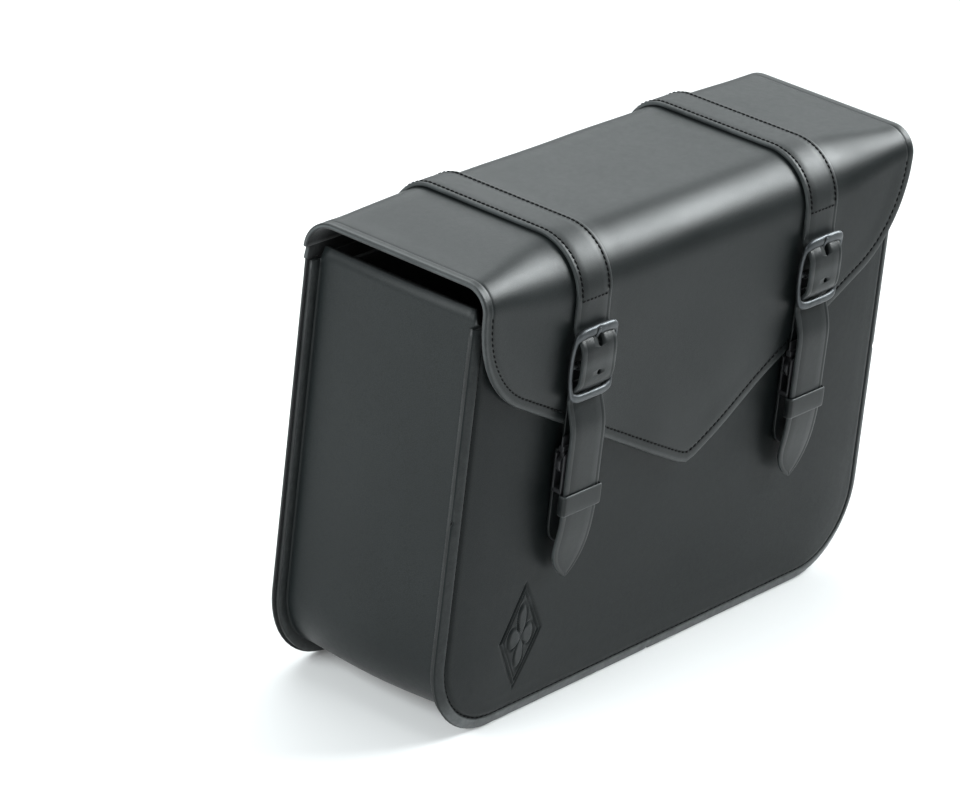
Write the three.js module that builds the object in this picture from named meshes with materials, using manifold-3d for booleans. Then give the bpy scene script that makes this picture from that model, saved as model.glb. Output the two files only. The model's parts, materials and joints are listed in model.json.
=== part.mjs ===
// A leather motorcycle saddlebag with a hinged lid, two closing straps with hidden clips, and mounting loops.
// Millimetres. +X along the bag, -Y the outer face with the buckles, +Y the side against the motorcycle, +Z up.
// The origin is the middle of the footprint, on the floor.
import * as THREE from "three";
import { mergeVertices } from "three/addons/utils/BufferGeometryUtils.js";
import Module from "manifold-3d";

const wasm = await Module();
wasm.setup();

// Case: two panels joined by a U-shaped gusset whose edges turn outwards into a sewn rim.
const GAP = 0.3;
const FRONT_Y = -60;
const BACK_Y = 71;
const PANEL_THICKNESS = 3;
const PANEL_HALF_BOTTOM = 210;
const PANEL_HALF_TOP = 207;
const PANEL_TOP_Z = 270;
const CORNER_RADIUS = 56;
const CORNER_STEPS = 9;
const RIM_WIDTH = 8;
const LEATHER = 2.8;
const PLATEAU = 4; // how far the middle of the front panel stands out from its rim

// Lid: one sheet, folded over the top, with a pointed flap in front.
const HINGE_Y = 69.5;
const HINGE_Z = 278;
const LID_THICKNESS = 3.2;
const LID_TOP_Z = 302;
const LID_HALF_WIDTH = 208;
const BACK_FOLD_RADIUS = 24;
const CREST_RADIUS = 32;
const FLAP_Y = -66.2; // middle of the flap's thickness
const FLAP_TIP_Z = 130;
const FLAP_SLOPE = 0.5;
const FLAP_CORNER_RADIUS = 75;

// Straps.
const STRAP_X = 111;
const STRAP_WIDTH = 31;
const STRAP_THICKNESS = 2.6;
const SWING_Y = -69.5;
const SWING_Z = 262;

// Buckle.
const BUCKLE_Z = 231;
const BUCKLE_HALF_HEIGHT = 23.5;
const BUCKLE_MID_Y = -72.6;
const BUCKLE_CURVE = 2.8; // how much further out its two ends stand than its middle
const CENTRE_BAR_RADIUS = 1.4;

const group = new THREE.Group();
group.name = "saddlebag";

function material(colour, roughness, metalness) {
  return new THREE.MeshStandardMaterial({ color: colour, roughness, metalness });
}

const blackLeather = () => material(0x2b2f30, 0.45, 0);
const strapLeather = () => material(0x26292a, 0.5, 0);
const darkMetal = () => material(0x4a4d50, 0.35, 0.9);
const blackPlastic = () => material(0x15171a, 0.3, 0);
const webbing = () => material(0x1d2022, 0.9, 0);
const board = () => material(0x303335, 0.7, 0);

function addPart(name, geometry, look) {
  const mesh = new THREE.Mesh(geometry, look);
  mesh.name = name;
  group.add(mesh);
}

function solid(geometry) {
  const bare = new THREE.BufferGeometry();
  const flat = geometry.index ? geometry.toNonIndexed() : geometry;
  bare.setAttribute("position", flat.getAttribute("position"));
  const merged = mergeVertices(bare, 1e-4);
  return new wasm.Manifold(
    new wasm.Mesh({
      numProp: 3,
      vertProperties: merged.attributes.position.array,
      triVerts: new Uint32Array(merged.index.array),
    }),
  );
}

function geometryOf(body) {
  const mesh = body.getMesh();
  const geometry = new THREE.BufferGeometry();
  geometry.setAttribute("position", new THREE.BufferAttribute(mesh.vertProperties, 3));
  geometry.setIndex(new THREE.BufferAttribute(mesh.triVerts, 1));
  geometry.computeVertexNormals();
  return geometry;
}

function shapeOf(points) {
  return new THREE.Shape(points.map(([u, v]) => new THREE.Vector2(u, v)));
}

function extruded(points, depth) {
  return new THREE.ExtrudeGeometry(shapeOf(points), { depth, bevelEnabled: false });
}

// Points are [y, z].
function prismAlongX(points, x0, x1) {
  const turn = new THREE.Matrix4().makeBasis(
    new THREE.Vector3(0, 1, 0),
    new THREE.Vector3(0, 0, 1),
    new THREE.Vector3(1, 0, 0),
  );
  return extruded(points, x1 - x0).applyMatrix4(turn).translate(x0, 0, 0);
}

// Points are [x, z].
function prismAlongY(points, y0, y1) {
  const turn = new THREE.Matrix4().makeBasis(
    new THREE.Vector3(1, 0, 0),
    new THREE.Vector3(0, 0, 1),
    new THREE.Vector3(0, -1, 0),
  );
  return extruded(points, y1 - y0).applyMatrix4(turn).translate(0, y1, 0);
}

function box(x0, x1, y0, y1, z0, z1) {
  const geometry = new THREE.BoxGeometry(x1 - x0, y1 - y0, z1 - z0);
  return geometry.translate((x0 + x1) / 2, (y0 + y1) / 2, (z0 + z1) / 2);
}

function arc(u, v, radius, fromDeg, toDeg, steps) {
  const points = [];
  for (let i = 0; i <= steps; i++) {
    const angle = THREE.MathUtils.degToRad(fromDeg + ((toDeg - fromDeg) * i) / steps);
    points.push([u + radius * Math.cos(angle), v + radius * Math.sin(angle)]);
  }
  return points;
}

// The path moved sideways by a distance, with mitred corners.
function offsetPath(path, distance) {
  return path.map((point, i) => {
    const before = path[Math.max(i - 1, 0)];
    const after = path[Math.min(i + 1, path.length - 1)];
    const inward = new THREE.Vector2(point[0] - before[0], point[1] - before[1]).normalize();
    const outward = new THREE.Vector2(after[0] - point[0], after[1] - point[1]).normalize();
    const along = inward.clone().add(outward).normalize();
    const stretch = Math.max(along.dot(i ? inward : outward), 0.5);
    return [point[0] - (along.y * distance) / stretch, point[1] + (along.x * distance) / stretch];
  });
}

// A strip of leather that follows a path of [y, z] points.
function ribbon(path, thickness, x0, x1) {
  const one = offsetPath(path, thickness / 2);
  const other = offsetPath(path, -thickness / 2);
  return prismAlongX([...one, ...other.reverse()], x0, x1);
}

// Sides and bottom of a panel, moved inwards by an inset: from the top left, round the bottom, to the top right.
function panelLine(inset, topZ = PANEL_TOP_Z) {
  const radius = Math.max(CORNER_RADIUS - inset, 8);
  const lean = (PANEL_HALF_BOTTOM - PANEL_HALF_TOP) / PANEL_TOP_Z;
  const halfAt = (z) => PANEL_HALF_BOTTOM - inset - lean * z;
  const cornerX = halfAt(inset + radius) - radius;
  const right = arc(cornerX, inset + radius, radius, -90, 0, CORNER_STEPS);
  right.push([halfAt(topZ), topZ]);
  const left = right.map(([x, z]) => [-x, z]).reverse();
  return [...left, ...right];
}

// The front panel: a flat rim with a sewn groove, then a soft rise to a raised middle.
// Each row: inset from the edge, outer face, inner face (both measured outwards from the rim plane).
const FRONT_RINGS = [
  [0, 0, -3],
  [1.5, 0.8, -3],
  [5, 0.6, -3],
  [7.5, -0.4, -3],
  [10.5, 0.3, -3],
  [16, 1.3, -1.9],
  [30, 2.8, -0.4],
  [48, 3.7, 0.6],
  [70, PLATEAU, 0.9],
];

function frontPanel() {
  const lines = FRONT_RINGS.map(([inset]) => panelLine(inset));
  const outer = lines.map((line, i) => line.map(([x, z]) => [x, FRONT_Y - FRONT_RINGS[i][1], z]));
  const inner = lines.map((line, i) => line.map(([x, z]) => [x, FRONT_Y - FRONT_RINGS[i][2], z]));
  const positions = [];
  const triangle = (a, b, c) => positions.push(...a, ...b, ...c);
  const quad = (a, b, c, d) => {
    triangle(a, b, c);
    triangle(a, c, d);
  };
  const last = lines.length - 1;
  const count = lines[0].length;
  for (let i = 0; i < last; i++) {
    for (let j = 0; j + 1 < count; j++) {
      quad(outer[i][j], outer[i][j + 1], outer[i + 1][j + 1], outer[i + 1][j]);
      quad(inner[i][j], inner[i + 1][j], inner[i + 1][j + 1], inner[i][j + 1]);
    }
    quad(outer[i][0], outer[i + 1][0], inner[i + 1][0], inner[i][0]);
    quad(outer[i][count - 1], inner[i][count - 1], inner[i + 1][count - 1], outer[i + 1][count - 1]);
  }
  for (let j = 0; j + 1 < count; j++) {
    quad(outer[0][j + 1], outer[0][j], inner[0][j], inner[0][j + 1]);
  }
  quad(outer[last][0], outer[last][count - 1], inner[last][count - 1], inner[last][0]);
  const middle = lines[last].map(([x, z]) => new THREE.Vector2(x, z));
  for (const [a, b, c] of THREE.ShapeUtils.triangulateShape(middle, [])) {
    triangle(outer[last][a], outer[last][b], outer[last][c]);
    triangle(inner[last][a], inner[last][c], inner[last][b]);
  }
  const geometry = new THREE.BufferGeometry();
  geometry.setAttribute("position", new THREE.Float32BufferAttribute(positions, 3));
  return mergeVertices(geometry, 1e-4);
}

// Eyelets near the upper corners of the back.
const EYELET_X = 176;
const EYELET_Z = 250;
const EYELET_BORE = 4;
const EYELET_BARREL = 5.1;
const EYELET_FLANGE = 9.5;

function cylinderAlongY(x, z, radius, y0, y1, sides = 20) {
  return new THREE.CylinderGeometry(radius, radius, y1 - y0, sides).translate(x, (y0 + y1) / 2, z);
}

function cutEyeletHoles(geometry) {
  let body = solid(geometry);
  for (const side of [-1, 1]) {
    const hole = cylinderAlongY(side * EYELET_X, EYELET_Z, EYELET_BARREL + GAP, 60, 80);
    body = body.subtract(solid(hole));
  }
  return geometryOf(body);
}

function backPanel() {
  const outline = panelLine(0, HINGE_Z - LID_THICKNESS / 2 - GAP);
  return cutEyeletHoles(prismAlongY(outline, BACK_Y - PANEL_THICKNESS, BACK_Y));
}

const STIFFENER_HALF_WIDTH = 187;
const STIFFENER_Y = [64.5, 67.7];

function backStiffener() {
  const bottom = 15;
  const corner = 38;
  const half = [
    ...arc(STIFFENER_HALF_WIDTH - corner, bottom + corner, corner, -90, 0, 6),
    [STIFFENER_HALF_WIDTH, 262],
  ];
  const mirrored = half.map(([x, z]) => [-x, z]).reverse();
  return cutEyeletHoles(prismAlongY([...mirrored, ...half], ...STIFFENER_Y));
}

function eyelet(side) {
  const profile = [
    [EYELET_BORE, 64],
    [EYELET_BARREL, 64],
    [EYELET_BARREL, BACK_Y + GAP],
    [EYELET_FLANGE, BACK_Y + GAP],
    [EYELET_FLANGE, BACK_Y + 1],
    [EYELET_FLANGE - 1, BACK_Y + 1.6],
    [EYELET_BORE + 1, BACK_Y + 1.6],
    [EYELET_BORE, BACK_Y + 1],
    [EYELET_BORE, 64],
  ];
  const points = profile.map(([r, y]) => new THREE.Vector2(r, y));
  return new THREE.LatheGeometry(points, 20).translate(side * EYELET_X, 0, EYELET_Z);
}

// A U-shaped wall between two insets of the panel outline.
function uWall(outerInset, innerInset, y0, y1, topZ) {
  const outline = [...panelLine(outerInset, topZ), ...panelLine(innerInset, topZ).reverse()];
  return solid(prismAlongY(outline, y0, y1));
}

const GUSSET_TOP_Z = 279;

// What the closed lid leaves free at the top of the gusset's ends.
function underLid() {
  const clearance = 2.4;
  const backRadius = BACK_FOLD_RADIUS - LID_THICKNESS - clearance;
  const crestRadius = CREST_RADIUS - LID_THICKNESS - clearance;
  const backCentre = BACK_Y + 0.1 - BACK_FOLD_RADIUS;
  const crestCentre = FLAP_Y - LID_THICKNESS / 2 + CREST_RADIUS;
  const crestZ = LID_TOP_Z - CREST_RADIUS;
  const points = [
    [-80, -10],
    [80, -10],
    [80, PANEL_TOP_Z],
    [backCentre + backRadius, PANEL_TOP_Z],
    ...arc(backCentre, HINGE_Z, backRadius, 0, 40, 4),
    ...arc(crestCentre, crestZ, crestRadius, 137, 180, 4),
    [-80, crestZ],
  ];
  return solid(prismAlongX(points, -250, 250));
}

const FRONT_EDGE = FRONT_Y + PANEL_THICKNESS + GAP;
const BACK_EDGE = BACK_Y - PANEL_THICKNESS - GAP;

function gusset() {
  const band = uWall(RIM_WIDTH, RIM_WIDTH + LEATHER, FRONT_EDGE, BACK_EDGE, GUSSET_TOP_Z);
  return geometryOf(band.intersect(underLid()));
}

// The gusset's sewn edges, turned outwards behind the rim of each panel.
function seamFlange(y0) {
  return geometryOf(uWall(GAP, RIM_WIDTH - GAP, y0, y0 + LEATHER, PANEL_TOP_Z));
}

// Middle of the lid's thickness, from the hinge over the top to the flap's lowest point.
function lidPath(outwards = 0) {
  const half = LID_THICKNESS / 2;
  const backRadius = BACK_FOLD_RADIUS - half + outwards;
  const crestRadius = CREST_RADIUS - half + outwards;
  const backCentre = HINGE_Y - BACK_FOLD_RADIUS + half;
  const crestCentre = FLAP_Y + CREST_RADIUS - half;
  return [
    ...arc(backCentre, LID_TOP_Z - BACK_FOLD_RADIUS, backRadius, 0, 90, 8),
    ...arc(crestCentre, LID_TOP_Z - CREST_RADIUS, crestRadius, 90, 180, 9),
  ];
}

function lidOutline() {
  const bend = (90 + THREE.MathUtils.radToDeg(Math.atan(FLAP_SLOPE))) / 2;
  const reach = FLAP_CORNER_RADIUS / Math.tan(THREE.MathUtils.degToRad(bend));
  const meetZ = FLAP_TIP_Z + FLAP_SLOPE * LID_HALF_WIDTH;
  const centreX = LID_HALF_WIDTH - FLAP_CORNER_RADIUS;
  const fromDeg = -90 + THREE.MathUtils.radToDeg(Math.atan(FLAP_SLOPE));
  const right = arc(centreX, meetZ + reach, FLAP_CORNER_RADIUS, fromDeg, 0, 8);
  right.push([LID_HALF_WIDTH, 320]);
  const left = right.map(([x, z]) => [-x, z]).reverse();
  return [...left, [-3, FLAP_TIP_Z + 1], [3, FLAP_TIP_Z + 1], ...right];
}

function lid() {
  const path = [...lidPath(), [FLAP_Y, 100]];
  const sheet = solid(ribbon(path, LID_THICKNESS, -LID_HALF_WIDTH, LID_HALF_WIDTH));
  const roundEdge = new THREE.CylinderGeometry(
    LID_THICKNESS / 2,
    LID_THICKNESS / 2,
    2 * LID_HALF_WIDTH,
    16,
  );
  roundEdge.rotateZ(Math.PI / 2).translate(0, HINGE_Y, HINGE_Z);
  const cutter = solid(prismAlongY(lidOutline(), -100, 100));
  return geometryOf(sheet.intersect(cutter).add(solid(roundEdge)));
}

const OVERLAY_THICKNESS = 2.4;

// The part of each strap that is sewn to the lid, from the back fold to the swing line.
function overlayStrap(x) {
  const outwards = (LID_THICKNESS + OVERLAY_THICKNESS) / 2 + GAP;
  const path = lidPath(outwards);
  const backStart = [path[0][0], HINGE_Z + 3];
  path[0] = backStart;
  const frontEnd = [FLAP_Y - outwards, SWING_Z + STRAP_THICKNESS / 2 + GAP];
  return ribbon([...path, frontEnd], OVERLAY_THICKNESS, x - STRAP_WIDTH / 2, x + STRAP_WIDTH / 2);
}

// The hanging strap: behind the buckle's top bar, over its middle bar, behind its bottom bar, over the clip, to a point.
const BILLET_PATH = [
  [SWING_Y, SWING_Z],
  [-69.5, 252],
  [-70.4, 246],
  [-73.4, 240.5],
  [-76.2, 235.5],
  [-76.9, BUCKLE_Z],
  [-76.2, 226.5],
  [-73.6, 221],
  [-71.1, 215.5],
  [-71.1, 211],
  [-71.3, 205],
  [-73.4, 197.5],
  [-75.8, 189],
  [-75.8, 134],
  [-74.4, 122],
  [-72, 106],
  [-70.8, 90],
];

function billetOutline(x) {
  const half = STRAP_WIDTH / 2;
  const shoulder = 108;
  const right = [
    [x + 2.5, 92],
    [x + 8.5, 98],
    [x + 13.4, 104],
    [x + half, shoulder + 3],
    [x + half, SWING_Z + 20],
  ];
  const left = right.map(([px, z]) => [2 * x - px, z]).reverse();
  return [...left, [x, 90.5], ...right];
}

function billet(x) {
  const half = STRAP_WIDTH / 2;
  const strip = solid(ribbon(BILLET_PATH, STRAP_THICKNESS, x - half, x + half));
  const end = new THREE.CylinderGeometry(STRAP_THICKNESS / 2, STRAP_THICKNESS / 2, STRAP_WIDTH, 12);
  end.rotateZ(Math.PI / 2).translate(x, SWING_Y, SWING_Z);
  const cutter = solid(prismAlongY(billetOutline(x), -100, -50));
  const slot = solid(box(x - 3.2, x + 3.2, -90, -60, 232, 248));
  return geometryOf(strip.intersect(cutter).add(solid(end)).subtract(slot));
}

// The buckle: a frame with bowed sides, curved towards the bag in its middle, and a middle bar.
function buckleLine(halfWidth, halfHeight, bow, chamfer) {
  const points = [];
  const steps = 12;
  for (let i = 0; i <= steps; i++) {
    const t = -1 + (2 * i) / steps;
    points.push([halfWidth + bow * (1 - t * t), halfHeight * t]);
  }
  points[0] = [halfWidth, -halfHeight + chamfer];
  points[steps] = [halfWidth, halfHeight - chamfer];
  points.unshift([halfWidth - chamfer, -halfHeight]);
  points.push([halfWidth - chamfer, halfHeight]);
  return [...points, ...points.map(([u, v]) => [-u, -v])];
}

function buckleFrame(x) {
  const thickness = 3.4;
  const shape = shapeOf(buckleLine(19.5, BUCKLE_HALF_HEIGHT, 1.8, 3));
  const hole = buckleLine(16.4, BUCKLE_HALF_HEIGHT - 4.6, 1.4, 0.8).reverse();
  shape.holes.push(new THREE.Path(hole.map(([u, v]) => new THREE.Vector2(u, v))));
  const ring = new THREE.ExtrudeGeometry(shape, { depth: thickness, bevelEnabled: false });
  ring.rotateX(Math.PI / 2).translate(x, BUCKLE_MID_Y + thickness / 2, BUCKLE_Z);
  const position = ring.getAttribute("position");
  for (let i = 0; i < position.count; i++) {
    const share = (position.getZ(i) - BUCKLE_Z) / BUCKLE_HALF_HEIGHT;
    position.setY(i, position.getY(i) - BUCKLE_CURVE * share * share);
  }
  const bar = new THREE.CylinderGeometry(CENTRE_BAR_RADIUS, CENTRE_BAR_RADIUS, 37, 14);
  bar.rotateZ(Math.PI / 2).translate(x, BUCKLE_MID_Y, BUCKLE_Z);
  return geometryOf(solid(ring).add(solid(bar)));
}

function tubeAlongX(x0, x1, y, z, outer, inner) {
  const circle = (radius) => arc(y, z, radius, 0, 360, 16).slice(0, -1);
  const shape = shapeOf(circle(outer));
  shape.holes.push(new THREE.Path(circle(inner).reverse().map(([u, v]) => new THREE.Vector2(u, v))));
  const turn = new THREE.Matrix4().makeBasis(
    new THREE.Vector3(0, 1, 0),
    new THREE.Vector3(0, 0, 1),
    new THREE.Vector3(1, 0, 0),
  );
  const tube = new THREE.ExtrudeGeometry(shape, { depth: x1 - x0, bevelEnabled: false });
  return tube.applyMatrix4(turn).translate(x0, 0, 0);
}

// The leather fold that holds the buckle's middle bar, slotted for the prong.
function barFold(x) {
  const tube = solid(tubeAlongX(x - 13.5, x + 13.5, BUCKLE_MID_Y, BUCKLE_Z, 2.7, 1.65));
  const slot = solid(box(x - 2.4, x + 2.4, -80, BUCKLE_MID_Y + 1.5, 220, 240));
  return geometryOf(tube.subtract(slot));
}

function prong(x) {
  const half = 1.8;
  const cylinder = (radius, reach) => {
    const rod = new THREE.CylinderGeometry(radius, radius, 2 * reach, 16);
    return solid(rod.rotateZ(Math.PI / 2).translate(x, BUCKLE_MID_Y, BUCKLE_Z));
  };
  const eye = cylinder(2.7, half);
  const shank = [
    [-73.4, 230.5],
    [-71.8, 232.6],
    [-73.6, 240],
    [-77.3, 250],
    [-77.3, 254.6],
    [-78.2, 255.6],
    [-79, 254.6],
    [-79, 250],
    [-75.3, 239.6],
    [-74.4, 230.5],
  ];
  const arm = solid(prismAlongX(shank, x - half, x + half));
  const bore = cylinder(1.7, 4);
  const openBack = box(x - 4, x + 4, BUCKLE_MID_Y + 1.2, -60, 225, 237);
  return geometryOf(eye.add(arm).subtract(bore).subtract(solid(openBack)));
}

function keeper(x) {
  const outer = solid(box(x - 18, x + 18, -78.8, -72.8, 136.5, 149.5));
  const inner = solid(box(x - 16.2, x + 16.2, -77.5, -74.1, 130, 155));
  return geometryOf(outer.subtract(inner));
}

// The hidden clip: its socket on the bag, its tongue and two springy arms on the strap.
const CLIP_MOUTH_Z = 175;
const CLIP_BOTTOM_Z = 150;
const SOCKET_Y = [-74.2, -66.8];
const TONGUE_Y = [-72.3, -68.7];

function anchorStrap(x) {
  const half = 14;
  const lowEnd = arc(x, 112 + half, half, 180, 360, 10);
  const outline = [...lowEnd, [x + half, 176], [x - half, 176]];
  return prismAlongY(outline, -66.5, FRONT_Y - PLATEAU - GAP);
}

function anchorRivet(x) {
  const profile = [
    [0, 0],
    [4, 0],
    [4, 0.6],
    [2.6, 1.4],
    [0, 1.6],
  ];
  const lathe = new THREE.LatheGeometry(
    profile.map(([r, h]) => new THREE.Vector2(r, h)),
    16,
  );
  return lathe.rotateX(Math.PI).translate(x, -66.5 - GAP, 124);
}

function clipSocket(x) {
  const wall = 1.5;
  const half = 17;
  const back = solid(box(x - half, x + half, SOCKET_Y[1] - wall, SOCKET_Y[1], CLIP_BOTTOM_Z, CLIP_MOUTH_Z));
  const front = solid(box(x - half, x + half, SOCKET_Y[0], SOCKET_Y[0] + wall, CLIP_BOTTOM_Z, CLIP_MOUTH_Z));
  const floor = solid(box(x - half, x + half, SOCKET_Y[0], SOCKET_Y[1], CLIP_BOTTOM_Z, CLIP_BOTTOM_Z + 3));
  return geometryOf(back.add(front).add(floor));
}

function clipTongue(x) {
  const tongue = solid(box(x - 4, x + 4, ...TONGUE_Y, 163, 177));
  const crossbar = solid(box(x - 16.5, x + 16.5, ...TONGUE_Y, 176, 180));
  const lip = solid(box(x - 16.5, x + 16.5, -71.3, -70.1, 179, 186));
  return geometryOf(tongue.add(crossbar).add(lip));
}

// side is -1 for the arm towards -X, 1 for the arm towards +X.
function clipArm(x, side) {
  const outline = [
    [10.5, 175.5],
    [14.5, 175.5],
    [15.2, 173],
    [18.4, 171],
    [18.4, 166.5],
    [15.5, 163],
    [11.5, 163],
    [12, 168],
  ];
  const points = outline.map(([u, z]) => [x + side * u, z]);
  return prismAlongY(points, -72.1, -68.9);
}

function tailStrap(x) {
  return box(x - 13.5, x + 13.5, -69.5, -68.1, 180.3, 219);
}

// Mounting bands on the back, with upright belt loops.
const BAND_HALF_WIDTH = 182;
const BAND_Y = [BACK_Y + GAP, BACK_Y + 1.9];
const BANDS = { upper: [110, 158], lower: [20, 68] };
const LOOP_X = [-150, -106, 106, 150];
const LOOP_HALF_WIDTH = 18;

function band(z0, z1) {
  return box(-BAND_HALF_WIDTH, BAND_HALF_WIDTH, ...BAND_Y, z0, z1);
}

function beltLoop(x, z0, z1) {
  const thickness = 1.5;
  const near = BAND_Y[1] + GAP + thickness / 2;
  const far = 78.4;
  const path = [
    [near, z0 + 2],
    [near, z0 + 8],
    [far - 0.8, z0 + 10.5],
    [far, z0 + 13],
    [far, z1 - 13],
    [far - 0.8, z1 - 10.5],
    [near, z1 - 8],
    [near, z1 - 2],
  ];
  return ribbon(path, thickness, x - LOOP_HALF_WIDTH, x + LOOP_HALF_WIDTH);
}

function addCase() {
  addPart("front_panel", frontPanel(), blackLeather());
  addPart("back_panel", backPanel(), blackLeather());
  addPart("gusset", gusset(), blackLeather());
  addPart("seam_flange_front", seamFlange(FRONT_EDGE), blackLeather());
  addPart("seam_flange_back", seamFlange(BACK_EDGE - LEATHER), blackLeather());
  addPart("back_stiffener", backStiffener(), board());
  addPart("eyelet_left", eyelet(-1), darkMetal());
  addPart("eyelet_right", eyelet(1), darkMetal());
  for (const [level, [z0, z1]] of Object.entries(BANDS)) {
    addPart("band_" + level, band(z0, z1), webbing());
    LOOP_X.forEach((x, i) => addPart("belt_loop_" + level + "_" + (i + 1), beltLoop(x, z0, z1), webbing()));
  }
}

function addStrap(side, x) {
  addPart("lid_strap_" + side, overlayStrap(x), strapLeather());
  addPart("billet_" + side, billet(x), strapLeather());
  addPart("buckle_frame_" + side, buckleFrame(x), darkMetal());
  addPart("bar_fold_" + side, barFold(x), strapLeather());
  addPart("prong_" + side, prong(x), darkMetal());
  addPart("keeper_" + side, keeper(x), strapLeather());
  addPart("anchor_strap_" + side, anchorStrap(x), strapLeather());
  addPart("anchor_rivet_" + side, anchorRivet(x), darkMetal());
  addPart("clip_socket_" + side, clipSocket(x), blackPlastic());
  addPart("clip_tongue_" + side, clipTongue(x), blackPlastic());
  addPart("clip_arm_" + side + "_1", clipArm(x, -1), blackPlastic());
  addPart("clip_arm_" + side + "_2", clipArm(x, 1), blackPlastic());
  addPart("tail_strap_" + side, tailStrap(x), strapLeather());
}

addCase();
addPart("lid", lid(), blackLeather());
addStrap("left", -STRAP_X);
addStrap("right", STRAP_X);

export default group;
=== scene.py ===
"""Looks of a leather motorcycle saddlebag, built round its CAD frame.

Shapes are worked out in millimetres and written in metres. -Y is the buckle side, +Y the side
against the motorcycle, +Z up.
"""
import json
import math

import bmesh
import bpy
from mathutils import Matrix, Vector, noise

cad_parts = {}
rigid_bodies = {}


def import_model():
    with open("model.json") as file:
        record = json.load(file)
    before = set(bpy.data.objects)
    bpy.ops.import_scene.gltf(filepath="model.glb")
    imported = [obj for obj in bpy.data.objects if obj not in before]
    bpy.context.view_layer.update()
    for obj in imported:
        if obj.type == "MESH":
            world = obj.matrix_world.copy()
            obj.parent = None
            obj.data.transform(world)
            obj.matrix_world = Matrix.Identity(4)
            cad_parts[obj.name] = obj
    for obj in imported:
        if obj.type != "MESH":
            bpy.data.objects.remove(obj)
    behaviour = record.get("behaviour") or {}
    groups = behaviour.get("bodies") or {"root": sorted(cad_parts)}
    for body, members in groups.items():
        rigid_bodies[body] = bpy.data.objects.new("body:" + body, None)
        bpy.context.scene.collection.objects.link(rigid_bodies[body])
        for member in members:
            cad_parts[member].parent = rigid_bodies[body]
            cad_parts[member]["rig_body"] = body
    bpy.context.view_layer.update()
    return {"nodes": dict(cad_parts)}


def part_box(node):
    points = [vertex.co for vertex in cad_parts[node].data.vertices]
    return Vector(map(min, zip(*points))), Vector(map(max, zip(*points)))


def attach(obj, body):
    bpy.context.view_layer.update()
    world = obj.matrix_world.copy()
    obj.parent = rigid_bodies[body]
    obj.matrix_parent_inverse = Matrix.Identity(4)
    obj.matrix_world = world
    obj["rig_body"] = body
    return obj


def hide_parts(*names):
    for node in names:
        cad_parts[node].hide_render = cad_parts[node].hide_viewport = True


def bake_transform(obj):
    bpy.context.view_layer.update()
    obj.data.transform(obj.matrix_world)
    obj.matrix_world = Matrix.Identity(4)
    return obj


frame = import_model()

MM = 0.001


def box_mm(node):
    low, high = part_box(node)
    return low / MM, high / MM


# ---- sizes from the frame

PANEL_LOW, PANEL_HIGH = box_mm("front_panel")
BACK_HIGH = box_mm("back_panel")[1]
LID_LOW, LID_HIGH = box_mm("lid")
STRAP_LOW, STRAP_HIGH = box_mm("billet_right")

PANEL_HALF_BOTTOM = PANEL_HIGH.x
PANEL_TOP_Z = PANEL_HIGH.z
PANEL_LEAN = 3 / PANEL_TOP_Z
CORNER_RADIUS = 56
SMALLEST_RADIUS = 8
PLATEAU = 4
FRONT_Y = PANEL_LOW.y + PLATEAU
BACK_Y = BACK_HIGH.y
BACK_PANEL_TOP_Z = 270.8
RIM_WIDTH = 8
RIM_STITCH_INSET = 7.7
LEATHER = 2.8

LID_HALF_WIDTH = LID_HIGH.x
LID_TOP_Z = LID_HIGH.z
LID_THICKNESS = 3.2
FLAP_FRONT_Y = LID_LOW.y
LID_BACK_Y = LID_HIGH.y
BACK_FOLD_RADIUS = 24
CREST_RADIUS = 32
HINGE_Y, HINGE_Z = 69.5, 278
TIP_Z = 130
TIP_ROUNDING = 4
FLAP_SLOPE = 0.5
SLOPE_ANGLE = math.atan(FLAP_SLOPE)
FLAP_CORNER_RADIUS = 75
FLAP_CORNER_X = LID_HALF_WIDTH - FLAP_CORNER_RADIUS
FLAP_CORNER_REACH = FLAP_CORNER_RADIUS / math.tan((math.pi / 2 + SLOPE_ANGLE) / 2)
FLAP_CORNER_Z = TIP_Z + FLAP_SLOPE * LID_HALF_WIDTH + FLAP_CORNER_REACH

STRAP_HALF_WIDTH = (STRAP_HIGH.x - STRAP_LOW.x) / 2
STRAP_X = (STRAP_HIGH.x + STRAP_LOW.x) / 2
STRAP_THICKNESS = 2.5
STRAP_STITCH_INSET = 3.3
SWING_Z = 262
STRAP_TIP_Z = STRAP_LOW.z
BUCKLE_Z = 231
BUCKLE_Y = -72.6
EYELET_X, EYELET_Z = 176, 250
SIDES = {"left": -STRAP_X, "right": STRAP_X}


# ---- material nodes

SHEEN_ROUGHNESS = 0.45
# Where most of a noise field lies.
MIDDLE = (0.35, 0.65)


def new_material(name, metallic=0.0, roughness=0.5, specular=0.5, sheen=0.0):
    """A principled material. Values that are the same all over sit on the shader's own sockets."""
    material = bpy.data.materials.new(name)
    material.use_nodes = True
    tree = material.node_tree
    shader = tree.nodes["Principled BSDF"]
    shader.inputs["Metallic"].default_value = metallic
    shader.inputs["Roughness"].default_value = roughness
    shader.inputs["Specular IOR Level"].default_value = specular
    shader.inputs["Sheen Weight"].default_value = sheen
    shader.inputs["Sheen Roughness"].default_value = SHEEN_ROUGHNESS
    return material, tree, shader


def plug(tree, value, socket):
    """Links another node's output to a socket, or puts a number, vector or colour on it."""
    if isinstance(value, bpy.types.NodeSocket):
        tree.links.new(value, socket)
    elif socket.type == "RGBA":
        socket.default_value = (*value, 1)
    else:
        socket.default_value = value


def node(tree, kind, inputs, **settings):
    made = tree.nodes.new(kind)
    for key, value in settings.items():
        setattr(made, key, value)
    for key, value in inputs.items():
        plug(tree, value, made.inputs[key])
    return made


def coordinates(tree, scale=(1, 1, 1)):
    place = node(tree, "ShaderNodeTexCoord", {})
    inputs = {"Vector": place.outputs["Object"], "Scale": scale}
    return node(tree, "ShaderNodeMapping", inputs).outputs["Vector"]


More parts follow.
